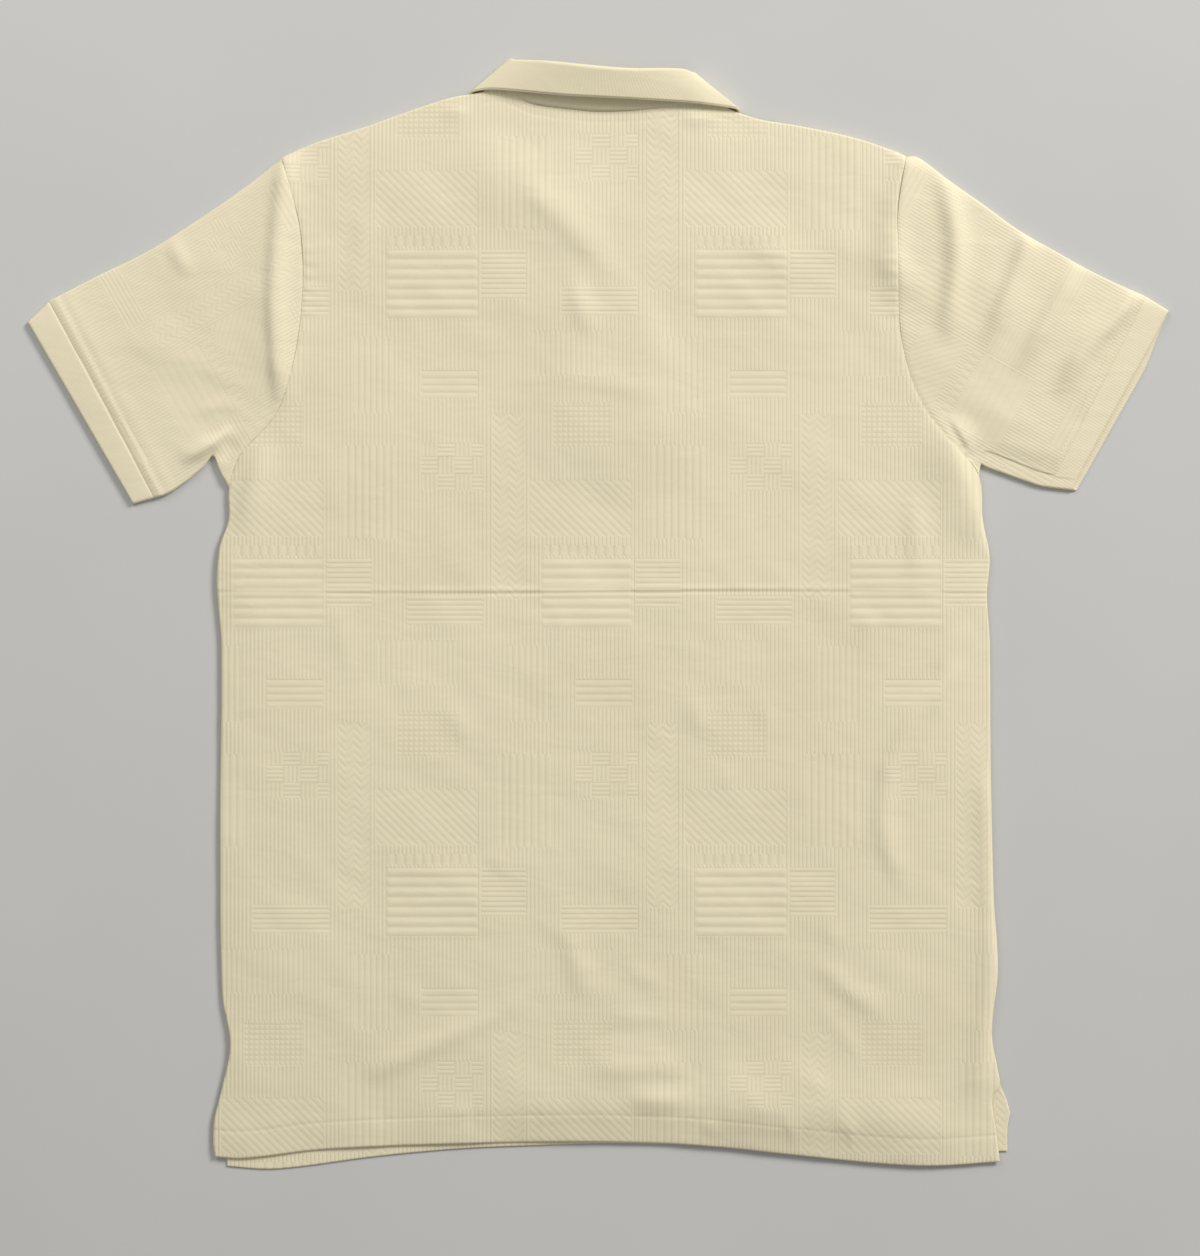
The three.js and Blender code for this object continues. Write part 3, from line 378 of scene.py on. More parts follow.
def curve(rows):
    """The smooth curve through (place, value) rows, as a function of the place."""
    at = np.array([row[0] for row in rows], float)
    value = np.array([row[1] for row in rows], float)
    before = np.maximum(np.arange(len(at)) - 1, 0)
    after = np.minimum(np.arange(len(at)) + 1, len(at) - 1)
    slope = (value[after] - value[before]) / (at[after] - at[before])

    def read(place):
        i = np.clip(np.searchsorted(at, place) - 1, 0, len(at) - 2)
        span = at[i + 1] - at[i]
        t = np.clip((place - at[i]) / span, 0, 1)
        rise = value[i + 1] - value[i]
        bend_in = slope[i] * span - rise
        bend_out = rise - slope[i + 1] * span
        return value[i] + rise * t + t * (1 - t) * (bend_in * (1 - t) + bend_out * t)

    return read


def even_line(points, count):
    """count points, evenly spaced, on the smooth line through the given ones."""
    points = np.array(points, float)
    ends = np.vstack([2 * points[0] - points[1], points, 2 * points[-1] - points[-2]])
    t = np.linspace(0, 1, 24, endpoint=False)[:, None]
    runs = []
    for a, b, c, d in zip(ends, ends[1:], ends[2:], ends[3:]):
        runs.append(b + 0.5 * t * (c - a + t * (2 * a - 5 * b + 4 * c - d + t * (3 * (b - c) + d - a))))
    fine = np.vstack([*runs, points[-1:]])
    walked = walked_along(fine)
    stops = np.linspace(0, walked[-1], count)
    return np.stack([np.interp(stops, walked, fine[:, k]) for k in range(fine.shape[1])], -1)


def from_line(line, x, y):
    """Each point's distance from a line, its way along it, and 1 to its upper right, 0 to its lower left."""
    points = np.stack([x, y], -1)
    nearest = np.full(x.shape, 1e9)
    along, sunny = np.zeros(x.shape), np.zeros(x.shape)
    walked = 0.0
    for a, b in zip(line[:-1], line[1:]):
        step = b - a
        length = math.hypot(*step)
        t = np.clip(((points - a) @ step) / length**2, 0, 1)
        offset = points - a - t[..., None] * step
        away = np.linalg.norm(offset, axis=-1)
        closer = away < nearest
        along = np.where(closer, walked + t * length, along)
        side = offset.sum(-1) / (math.sqrt(2) * np.maximum(away, 1e-6))
        sunny = np.where(closer, 0.5 + 0.5 * side, sunny)
        nearest = np.minimum(away, nearest)
        walked += length
    return nearest, along, sunny


back_left_x, back_right_x = curve(BACK_LEFT_EDGE), curve(BACK_RIGHT_EDGE)
front_left_vent_x, front_right_vent_x = curve(FRONT_LEFT_VENT), curve(FRONT_RIGHT_VENT)
back_hem_y, front_hem_y = curve(BACK_HEM), curve(FRONT_HEM)
left_shoulder_y, right_shoulder_y = curve(LEFT_SHOULDER), curve(RIGHT_SHOULDER)
back_neck_y = curve(BACK_NECK)


def front_left_x(y):
    return np.where(y < LEFT_VENT_TOP, front_left_vent_x(y), back_left_x(y) + FRONT_INSET)


def front_right_x(y):
    return np.where(y < RIGHT_VENT_TOP, front_right_vent_x(y), back_right_x(y) - FRONT_INSET)


def front_neck_y(x):
    """The front neckline, a deep rounded scoop between the two neck points."""
    middle, half = (NECK_LEFT[0] + NECK_RIGHT[0]) / 2, (NECK_RIGHT[0] - NECK_LEFT[0]) / 2
    across = np.clip((x - middle) / half, -1, 1)
    chord = NECK_LEFT[1] + (NECK_RIGHT[1] - NECK_LEFT[1]) * (across + 1) / 2
    return chord - FRONT_NECK_DROP * (1 - np.abs(across) ** NECK_FLATNESS) ** NECK_FULLNESS


FRONT_NECK_MIDDLE = float(front_neck_y(CENTRE_FRONT))


def top_edge_y(x, neck_y):
    inside = np.where(x < NECK_RIGHT[0], neck_y(x), right_shoulder_y(x))
    return np.where(x < NECK_LEFT[0], left_shoulder_y(x), inside)


BACK = {
    "left": back_left_x,
    "right": back_right_x,
    "hem": back_hem_y,
    "top": lambda x: top_edge_y(x, back_neck_y),
    "blend": BACK_TOP_BLEND,
}
FRONT = {
    "left": front_left_x,
    "right": front_right_x,
    "hem": front_hem_y,
    "top": lambda x: top_edge_y(x, front_neck_y),
    "blend": FRONT_TOP_BLEND,
}


def panel_plan(panel, across, row):
    """x and y of a panel's grid points."""
    upright = np.clip(across, -UPRIGHT_HALF, UPRIGHT_HALF)
    share = np.clip((np.abs(across) - UPRIGHT_HALF) / (PANEL_HALF - UPRIGHT_HALF), 0, 1)
    near_hem = 1 - smooth((row - PANEL_FOOT) / HEM_BLEND)
    near_top = smooth((row - PANEL_TOP + panel["blend"]) / panel["blend"])

    def level(x):
        hem_shift = near_hem * (panel["hem"](x) - PANEL_FOOT)
        return row + hem_shift + near_top * (panel["top"](x) - PANEL_TOP)

    x = upright
    y = level(x)
    for _ in range(PANEL_ROUNDS):
        edge = np.where(across < 0, panel["left"](y), panel["right"](y))
        x = upright + (edge - upright) * share
        y = level(x)
    return x, y


def armhole(edge_x, shoulder_y, armpit_y):
    y = np.linspace(shoulder_y, armpit_y, ARMHOLE_POINTS)
    return np.stack([edge_x(y), y], -1)


def moved_out(line, distance):
    """A line moved to its left, seen along it, by a distance."""
    ahead = np.gradient(line, axis=0)
    ahead /= np.linalg.norm(ahead, axis=1)[:, None]
    return line + distance * np.stack([-ahead[:, 1], ahead[:, 0]], -1)


left_armhole = armhole(back_left_x, LEFT_ARMHOLE_TOP, LEFT_ARMPIT)
right_armhole = armhole(back_right_x, RIGHT_ARMHOLE_TOP, RIGHT_ARMPIT)

# The shirt's outline without the collar: two points beyond the collar close it over the neck.
left_side = [(x, y) for y, x in BACK_LEFT_EDGE if y < LEFT_ARMPIT]
right_side = [(x, y) for y, x in BACK_RIGHT_EDGE if y < RIGHT_ARMPIT]
OUTLINE = np.array([
    *LEFT_SHOULDER[:-1][::-1],
    *LEFT_SLEEVE["top"],
    *LEFT_SLEEVE["cuff"],
    *LEFT_SLEEVE["under"][:0:-1],
    *left_side[::-1],
    *BACK_HEM,
    *right_side,
    *RIGHT_SLEEVE["under"][1:],
    *RIGHT_SLEEVE["cuff"][::-1],
    *RIGHT_SLEEVE["top"][::-1],
    *RIGHT_SHOULDER[:0:-1],
    (66.0, 400.0),
    (-62.0, 400.0),
    LEFT_SHOULDER[-2],
])


# Heights


def neck_patch(x, y, softness=1.0):
    """1 over the collar's front half and the placket, where the front is lifted, 0 away from them."""
    half_width, half_height = NECK_LIFT_HALF
    over_collar = np.hypot((x - CENTRE_FRONT) / half_width, (y - NECK_LIFT_Y) / half_height)
    placket_foot = FRONT_NECK_MIDDLE - PLACKET_LENGTH
    beside = np.maximum(np.abs(x - CENTRE_FRONT) - PLACKET_WIDTH / 2, 0)
    below = np.maximum(placket_foot - PLACKET_MARGIN - y, 0)
    collar_part = 1 - smooth((over_collar - 1) / NECK_LIFT_FADE / softness)
    placket_part = 1 - smooth((np.hypot(beside, below) - PLACKET_MARGIN) / PLACKET_FADE / softness)
    return np.maximum(collar_part, placket_part)


def fold_height(folds, x, y):
    """Ridges along smooth lines, which die away towards both ends."""
    height = np.zeros(x.shape)
    for points, shade, sun, rise in folds:
        line = even_line(points, 4 * len(points))
        length = np.linalg.norm(np.diff(line, axis=0), axis=1).sum()
        reach = 2.5 * max(shade, sun)
        near = (x > line[:, 0].min() - reach) & (x < line[:, 0].max() + reach)
        near &= (y > line[:, 1].min() - reach) & (y < line[:, 1].max() + reach)
        away, along, sunny = from_line(line, x[near], y[near])
        taper = min(FOLD_TAPER_SHARE * length, FOLD_TAPER)
        ends = smooth(np.minimum(along, length - along) / taper)
        height[near] += rise * ends * bump(away, shade + (sun - shade) * sunny)
    return height


def crumple(x, y, scale, seed):
    """Soft unevenness of laid cloth, between about -1 and 1."""
    places = zip(np.ravel(x) / scale, np.ravel(y) / scale)
    values = [noise.noise(Vector((a, b, seed))) for a, b in places]
    return np.reshape(values, x.shape)


def upper_bottom(x, y):
    edge, _, _ = from_line(OUTLINE, x, y)
    air = AIR_BETWEEN_LAYERS * (1 - np.exp(-edge / AIR_FADE))
    folds = fold_height(FOLDS, x, y) * smooth(edge / FOLD_EDGE_FADE)
    return UPPER_LAYER + (PLACKET_RISE + NECK_RISE) * neck_patch(x, y, UPPER_SOFTNESS) + air + folds


def lower_bottom(x, y):
    return PLACKET_RISE * neck_patch(x, y)


def bar_height(x, y):
    height = np.zeros(x.shape)
    for block_x, block_y in BAR_BLOCKS:
        up = (y - block_y) / BAR_PITCH
        inside = BLOCK_WIDTH / 2 - np.abs(x - block_x)
        on_block = (up >= 0) & (up <= BARS_PER_BLOCK) & (inside >= 0)
        bars = np.abs(np.sin(math.pi * up)) * smooth(inside / BLOCK_EDGE)
        height += np.where(on_block, BAR_RELIEF * bars, 0)
    return height


def pucker(away, along, reach, pitch, seed):
    """Little ripples across a sewn line, fading away from it."""
    swing = np.sin(2 * math.pi * along / pitch + 2.5 * np.sin(along / 31 + seed) + seed)
    return swing * np.exp(-away / reach) * smooth(away / 2.5)


def rounded_edge(away, radius):
    """How far the cloth's outer side falls at a folded or sewn edge."""
    inside = np.clip(1 - away / radius, 0, 1)
    return radius * (1 - np.sqrt(1 - inside**2))


# Pieces


def plan_shift():
    """From the shirt's own plan to the frame's origin, read off the placket and the top button."""
    low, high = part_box("placket_outer")
    button_low, button_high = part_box("button_1")
    middle_y = (button_low.y + button_high.y) / 2
    return np.array([
        (low.x + high.x) / 2 / MM - CENTRE_FRONT,
        middle_y / MM - (FRONT_NECK_MIDDLE - BUTTON_DROPS[0]),
        0.0,
    ])


SHIFT = plan_shift()
MERGE_DISTANCE = 1e-6


def in_frame(x, y, z):
    return (np.stack([x, y, z], -1) + SHIFT) * MM


def add_piece(name, mesh, material, slot, *nodes):
    piece = bpy.data.objects.new(name, mesh)
    bpy.context.scene.collection.objects.link(piece)
    mesh.materials.append(material)
    mesh.shade_smooth()
    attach(piece, "root")
    if nodes:
        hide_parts(*nodes)
    return piece


def mesh_of(bm, name):
    mesh = bpy.data.meshes.new(name)
    bm.to_mesh(mesh)
    bm.free()
    return mesh


@contextmanager
def edited(mesh):
    """The mesh opened for bmesh's operators, and written back at the end."""
    bm = bmesh.new()
    bm.from_mesh(mesh)
    yield bm
    bm.to_mesh(mesh)
    bm.free()


def cloth_grid(name, columns, rows, place, weave, round_joined=False):
    """A grid of cloth. place and weave give each point's place in the frame and on the weave's map."""
    bm = bmesh.new()
    bmesh.ops.create_grid(bm, x_segments=len(columns) - 1, y_segments=len(rows) - 1, size=0.5)
    mesh = mesh_of(bm, name)
    flat = np.zeros(len(mesh.vertices) * 3)
    mesh.vertices.foreach_get("co", flat)
    flat = flat.reshape(-1, 3) + 0.5
    column = np.array(columns)[np.rint(flat[:, 0] * (len(columns) - 1)).astype(int)]
    row = np.array(rows)[np.rint(flat[:, 1] * (len(rows) - 1)).astype(int)]
    mesh.vertices.foreach_set("co", place(column, row).ravel())
    corners = np.zeros(len(mesh.loops), int)
    mesh.loops.foreach_get("vertex_index", corners)
    layer = mesh.uv_layers.new(name="weave")
    layer.uv.foreach_set("vector", (weave(column, row) * MM)[corners].ravel())
    for unused in [layer for layer in mesh.uv_layers if layer.name != "weave"]:
        mesh.uv_layers.remove(unused)
    if round_joined:
        with edited(mesh) as bm:
            bmesh.ops.remove_doubles(bm, verts=bm.verts, dist=MERGE_DISTANCE)
    mesh.update()
    return mesh


def thicken(piece, thickness, offset=-1.0):
    wall = piece.modifiers.new("wall", "SOLIDIFY")
    wall.thickness = thickness * MM
    wall.offset = offset
    wall.use_even_offset = False
    return piece


def spaced(low, high, widest, fine=()):
    """Places from low to high, no wider apart than widest, and than each fine stretch's own step."""
    places = [low]
    while places[-1] < high - 1e-6:
        here = places[-1]
        step = widest
        for start, end, narrow in fine:
            if start - 1e-6 <= here < end - 1e-6:
                step = min(step, narrow)
            elif here < start:
                step = min(step, start - here)
        places.append(min(here + step, high))
    return places


EDGE_STEPS = [0.0, 0.12, 0.4, 0.8, 1.3, 2.0, 3.0]


def with_edges(places, stretch=1.0):
    """Adds the close steps at both ends that a rounded edge needs."""
    low, high = places[0], places[-1]
    steps = np.array(EDGE_STEPS) * stretch
    inner = [p for p in places if low + steps[-1] * 1.3 < p < high - steps[-1] * 1.3]
    return [*(low + steps), *inner, *(high - steps)[::-1]]


def turned(angle, density=1.0):
    """Reads the weave's map as the plan turned by an angle, in degrees, and drawn closer."""
    cosine, sine = math.cos(math.radians(angle)), math.sin(math.radians(angle))
    return lambda x, y: density * np.stack([x * cosine - y * sine, x * sine + y * cosine], -1)


def uneven(x, y, seed):
    """The small wrinkles and the soft unevenness that cloth has when it lies."""
    falling, rising = (x - y) * 0.7, (x + y) * 0.7
    slow = 0.6 * crumple(x, y, SLOW_SCALE, seed)
    slow += 0.42 * crumple(falling * 0.35, rising, SLANT_SCALE, seed + 3)
    fine = 0.16 * crumple(falling * 0.4, rising, FINE_SCALE, seed + 7)
    return slow + fine + fold_height(WRINKLES, x, y)


def back_outside(x, y):
    """Height of the back's outer side."""
    height = upper_bottom(x, y) + CLOTH + bar_height(x, y) + uneven(x, y, 1.7)
    from_hem = y - back_hem_y(x)
    height -= groove(from_hem - HEM_DEPTH, HEM_GROOVE)
    height += 0.2 * pucker(np.abs(from_hem - HEM_DEPTH), x, reach=9, pitch=11, seed=0.4)
    crease = y - STORAGE_CREASE - 0.7 * np.sin(x / 70)
    crease_height = groove(crease - CREASE_RIDGE_ABOVE, CREASE_RIDGE) - groove(crease, CREASE_GROOVE)
    height += (0.3 + 0.7 * bump(x, 150)) * crease_height
    from_neck = back_neck_y(x) - y
    on_neck = (x > NECK_LEFT[0]) & (x < NECK_RIGHT[0])
    neck_grooves = groove(from_neck - NECK_SEAM, NECK_SEAM_GROOVE)
    neck_grooves += groove(from_neck - NECK_TURN, NECK_TURN_GROOVE)
    height -= np.where(on_neck, neck_grooves, 0)
    for hole, seed in ((left_armhole, 2.0), (right_armhole, 5.0)):
        away, along, _ = from_line(hole, x, y)
        ripples = pucker(away, along, reach=8, pitch=9, seed=seed)
        height += 0.25 * ripples - groove(away, ARMHOLE_GROOVE)
    edges = [
        from_hem,
        np.where(on_neck, 9, top_edge_y(x, back_neck_y) - y),
        np.where(y < LEFT_ARMPIT, x - back_left_x(y), 9),
        np.where(y < RIGHT_ARMPIT, back_right_x(y) - x, 9),
    ]
    height -= np.where(on_neck, rounded_edge(from_neck, 0.8), 0)
    return height - rounded_edge(np.minimum.reduce(edges), 1.3)


def panel_mesh(name, panel, columns, rows, upper_side, mirror):
    """A panel's sheet. mirror is -1 for the front, whose weave is drawn from its other side."""

    def place(across, row):
        x, y = panel_plan(panel, across, row)
        return in_frame(x, y, upper_side(x, y))

    def weave(across, row):
        x, y = panel_plan(panel, across, row)
        return np.stack([mirror * x, y], -1)

    return cloth_grid(name, with_edges(columns), with_edges(rows), place, weave)


def make_back(material):
    """The back, its grid closer over the bars, the crease and the sewn lines."""
    block_top = BAR_PITCH * BARS_PER_BLOCK
    bar_rows = sorted({(low, low + block_top, BAR_PITCH / 6) for _, low in BAR_BLOCKS})
    crease_rows = (STORAGE_CREASE - 4, STORAGE_CREASE + 8, 0.9)
    hem_rows = (PANEL_FOOT + HEM_DEPTH - 3, PANEL_FOOT + HEM_DEPTH + 3, 0.75)
    neck_rows = (PANEL_TOP - 11, PANEL_TOP - 5, 0.8)
    fine_rows = [*bar_rows, crease_rows, hem_rows, neck_rows]
    rows = spaced(PANEL_FOOT, PANEL_TOP, BACK_ROW_STEP, fine_rows)
    side_places = [x + side * BLOCK_WIDTH / 2 for x, _ in BAR_BLOCKS for side in (-1, 1)]
    sides = [(x - 1.7, x + 1.7, 1.1) for x in side_places if abs(x - 1.7) < UPRIGHT_HALF]
    columns = spaced(-PANEL_HALF, PANEL_HALF, BACK_COLUMN_STEP, sides)

    mesh = panel_mesh("back_panel", BACK, columns, rows, back_outside, 1)
    piece = add_piece("back_cloth", mesh, material, "relief_knit", "back_panel")
    return thicken(piece, CLOTH)


def front_top(x, y):
    """Height of the front's upper side, which shows at the hem and the vents."""
    height = lower_bottom(x, y) + CLOTH
    from_hem = y - front_hem_y(x)
    edges = [
        from_hem,
        np.where(y < LEFT_VENT_TOP, x - front_left_x(y), 9),
        np.where(y < RIGHT_VENT_TOP, front_right_x(y) - x, 9),
    ]
    height -= groove(from_hem - HEM_DEPTH, FRONT_HEM_GROOVE)
    return height - 0.7 * rounded_edge(np.minimum.reduce(edges), 1.2)


def make_front(material):
    """The front, its grid closer at the neck and the hem, with the placket's slot cut out."""
    neck = [(NECK_LEFT[0] - 6, NECK_RIGHT[0] + 6, 3.2)]
    columns = spaced(-PANEL_HALF, PANEL_HALF, FRONT_STEP, neck)
    rows = spaced(PANEL_FOOT, PANEL_TOP, FRONT_STEP, [(PANEL_FOOT, PANEL_FOOT + 26, 2.2)])
    mesh = panel_mesh("front_panel", FRONT, columns, rows, front_top, -1)
    cut_placket_slot(mesh)
    piece = add_piece("front_cloth", mesh, material, "relief_knit", "front_panel")
    return thicken(piece, CLOTH - 0.3)


def cut_placket_slot(mesh):
    """Opens the slot that the placket fills, from the neckline down."""
    half = PLACKET_WIDTH / 2 + SEAM_GAP
    left, foot, _ = in_frame(CENTRE_FRONT - half, FRONT_NECK_MIDDLE - PLACKET_LENGTH - SEAM_GAP, 0)
    right = left + 2 * half * MM
    cuts = [((left, 0, 0), (1, 0, 0)), ((right, 0, 0), (1, 0, 0)), ((0, foot, 0), (0, 1, 0))]
    with edited(mesh) as bm:
        for place, across in cuts:
            everything = [*bm.verts, *bm.edges, *bm.faces]
            bmesh.ops.bisect_plane(bm, geom=everything, plane_co=place, plane_no=across, dist=1e-6)
        middles = [(face, face.calc_center_median()) for face in bm.faces]
        inside = [face for face, middle in middles if left < middle.x < right and middle.y > foot]
        bmesh.ops.delete(bm, geom=inside, context="FACES")


# Sleeves and cuffs, flattened tubes

FOLD_RADIUS = 1.7
FOLD_ANGLES = (0, 18, 36, 54, 72, 90)
UPPER_STEP = 3.0
LOWER_STEP = 9.0
SLEEVE_WIDTH = 200.0
CUFF_WIDTH = 147.0
SLEEVE_DENSITY = 1.2
LINE_POINTS = 200
ARMHOLE_CLEARANCE = 0.15
CUFF_STITCHES_AT = 0.9635
SLEEVE_STEP = 0.017
CUFF_STEP = 0.11
CUFF_END_STEPS = (0.93, 0.99, 0.0045)
CUFF_RIDGE_AT = 4.6
CUFF_RIDGE = (0.5, 2.4)
CUFF_SWELL_AT = 13.0
CUFF_SWELL = (0.3, 4.0)

# A tucked underarm's fold: the close steps of the grid there, and how the upper layer rises from it.
TUCK_STEPS = (180.0, 194.0, 0.7)
CUFF_TUCK_STEPS = (132.0, 142.0, 0.7)
LIP_SHARE = 0.42
LIP_FADE = 16.0


def sleeve_lines(sleeve, hole):
    """The plan of a sleeve: its armhole line, cuff seam, top fold and underarm edge, evenly spaced."""
    hole = moved_out(hole, ARMHOLE_CLEARANCE * sleeve["side"])
    seam = np.array([sleeve["top"][-1], sleeve["under"][-1]])
    return {
        "start": even_line(hole, LINE_POINTS),
        "end": np.linspace(seam[0], seam[1], LINE_POINTS),
        "top": even_line([hole[0], *sleeve["top"]], LINE_POINTS),
        "under": even_line([hole[-1], *sleeve["under"]], LINE_POINTS),
    }


def on_line(line, t):
    place = np.clip(t, 0, 1) * (len(line) - 1)
    return np.stack([np.interp(place, np.arange(len(line)), line[:, k]) for k in (0, 1)], -1)


def sleeve_place(lines, s, t):
    """The plan point of a sleeve, s from the armhole to the cuff and t from the top to the underarm."""
    s, t = s[..., None], t[..., None]
    start, end = on_line(lines["start"], t[..., 0]), on_line(lines["end"], t[..., 0])
    straight_top = lines["start"][0] * (1 - s) + lines["end"][0] * s
    straight_under = lines["start"][-1] * (1 - s) + lines["end"][-1] * s
    top_shift = (on_line(lines["top"], s[..., 0]) - straight_top) * (1 - t) ** 2
    under_shift = (on_line(lines["under"], s[..., 0]) - straight_under) * t**2
    return start * (1 - s) + end * s + top_shift + under_shift


def ring_places(width, fine):
    """Round a flattened tube: distance from the top fold, and 1 on the upper layer or -1 on the lower."""
    turn = [FOLD_RADIUS * (1 - math.cos(math.radians(angle))) for angle in FOLD_ANGLES]
    ends = [width - d for d in turn[::-1]]
    upper = [*turn, *spaced(FOLD_RADIUS, width - FOLD_RADIUS, UPPER_STEP, fine)[1:-1], *ends]
    lower = [*turn[1:], *spaced(FOLD_RADIUS, width - FOLD_RADIUS, LOWER_STEP)[1:-1], *ends[:-1]]
    return [(d, 1) for d in upper] + [(d, -1) for d in lower[::-1]] + [(upper[0], 1)]


def flat_tube(name, plan, shares, width, outside, weave_map, side, reach_below=0.0, fine=()):
    """A flattened tube of cloth. plan(s, t) is its plan, and outside(x, y, s) its upper side's height.

    s runs from the tube's start to its end and t from the top fold to the underarm. reach_below is the
    share by which the lower layer is longer than the upper one.
    """
    ring = ring_places(width, fine)[::side]
    distance = np.array([d for d, _ in ring]) / width
    layer = np.array([face for _, face in ring])
    fold = np.clip(1 - np.minimum(distance, 1 - distance) * width / FOLD_RADIUS, 0, 1)
    flatness = np.sqrt(1 - fold**2)

    def plan_at(k, s):
        k = k.astype(int)
        below = np.where(layer[k] < 0, 1.0, 0.5 * (fold[k] > 0)) * smooth(distance[k] / 0.35)
        point = plan(s * (1 + reach_below * below), distance[k])
        return k, point[..., 0], point[..., 1]

    def place(k, s):
        k, x, y = plan_at(k, s)
        top = outside(x, y, s)
        middle = top / 2
        height = np.where(layer[k] > 0, middle + (top - middle) * flatness[k], middle * (1 - flatness[k]))
        return in_frame(x, y, height)

    def weave(k, s):
        _, x, y = plan_at(k, s)
        return weave_map(x, y)

    return cloth_grid(name, np.arange(len(ring)), shares, place, weave, round_joined=True)


def tucked(height, from_under, s, tuck, level):
    """Lets the upper layer end in a fold short of the underarm edge, so that the lower one shows."""
    width = tuck * smooth(s / 0.4) * (1 - 0.2 * s)
    inwards = from_under - width + 0.6
    share = smooth(inwards / 0.9) * (LIP_SHARE + (1 - LIP_SHARE) * smooth(inwards / LIP_FADE))
    return level + (height - level) * np.maximum(share, 1 - smooth(s / 0.06))


def sleeve_outside(lines, hole, tuck, seed):
    """The height of a sleeve's upper side, as a function of the place and of s."""

    def outside(x, y, s):
        height = upper_bottom(x, y) + CLOTH + uneven(x, y, seed)
        away, along, _ = from_line(hole, x, y)
        ripples = pucker(away, along, reach=11, pitch=8, seed=seed)
        height += 0.3 * ripples - groove(away, ARMHOLE_GROOVE)
        from_cuff, _, _ = from_line(lines["end"][[0, -1]], x, y)
        ridge_height = groove(from_cuff - CUFF_RIDGE_AT, CUFF_RIDGE)
        height += ridge_height + groove(from_cuff - CUFF_SWELL_AT, CUFF_SWELL)
        height -= groove(from_cuff, CUFF_SEAM_GROOVE)
        if tuck:
            from_under, _, _ = from_line(lines["under"], x, y)
            height = tucked(height, from_under, s, tuck, 2 * CLOTH + 0.2)
        return height

    return outside


def make_sleeve(name, node, sleeve, hole, material):
    """One sleeve, and the path of the stitches along its cuff's seam."""
    lines = sleeve_lines(sleeve, hole)
    side, tuck = sleeve["side"], sleeve["tuck"]
    shares = with_edges(spaced(0.0, 1.0, SLEEVE_STEP, [CUFF_END_STEPS]), 0.004)
    outside = sleeve_outside(lines, hole, tuck, sleeve["seed"])
    fine = [TUCK_STEPS] if tuck else ()
    weave_map = turned(sleeve["turn"], SLEEVE_DENSITY)

    def plan(s, t):
        return sleeve_place(lines, s, t)

    mesh = flat_tube(name, plan, shares, SLEEVE_WIDTH, outside, weave_map, side, fine=fine)
    piece = add_piece(name, mesh, material, "relief_knit", node)
    across = np.linspace(0.012, 0.92 if tuck else 0.988, LINE_POINTS)
    x, y = plan(np.full(LINE_POINTS, CUFF_STITCHES_AT), across).T
    row = in_frame(x, y, outside(x, y, CUFF_STITCHES_AT) - 0.02)
    return thicken(piece, CLOTH), row


def make_cuff(name, node, sleeve, material):
    """A ribbed band from the sleeve's seam to the cuff's far corners."""
    side, tuck, reach = sleeve["side"], sleeve["cuff_tuck"], sleeve["reach_below"]
    weave_map = turned(sleeve["turn"])
    near = np.array([sleeve["top"][-1], sleeve["under"][-1]], float)
    far = np.array(sleeve["cuff"], float)
    length = np.linalg.norm(far - near, axis=1).mean()
    near = near + (far - near) * 0.06 / length
    under = np.array([near[1], far[1] * 2 - near[1]])

    def plan(s, t):
        s, t = s[..., None], t[..., None]
        return (near[0] * (1 - t) + near[1] * t) * (1 - s) + (far[0] * (1 - t) + far[1] * t) * s

    def outside(x, y, s):
        height = upper_bottom(x, y) + RIB - 0.2 + 0.12 * crumple(x, y, scale=20, seed=9.1)
        height -= groove(s * length, CUFF_START_GROOVE) + 0.8 * rounded_edge((1 - s) * length, 1.3)
        if tuck:
            from_under, _, _ = from_line(under, x, y)
            height = tucked(height, from_under, 1.0, tuck, 2 * RIB - 0.2)
        return height

    shares = with_edges(spaced(0.0, 1.0, CUFF_STEP), 1 / length)
    fine = [CUFF_TUCK_STEPS] if tuck else ()
    mesh = flat_tube(name, plan, shares, CUFF_WIDTH, outside, weave_map, side, reach, fine)
    piece = add_piece(name, mesh, material, "rib_knit", node)
    return thicken(piece, RIB * 0.8)


# Collar


def upper_level(x, y):
    return float(upper_bottom(np.array([x]), np.array([y]))[0])


def collar_seam_y(seam_x, turn):
    """Where the collar is sewn on: along the front's neckline, the back's, or at the neck points."""
    if turn > 135:
        return float(front_neck_y(seam_x))
    if turn < 45:
        return float(back_neck_y(seam_x))
    return (NECK_LEFT if seam_x < 0 else NECK_RIGHT)[1]


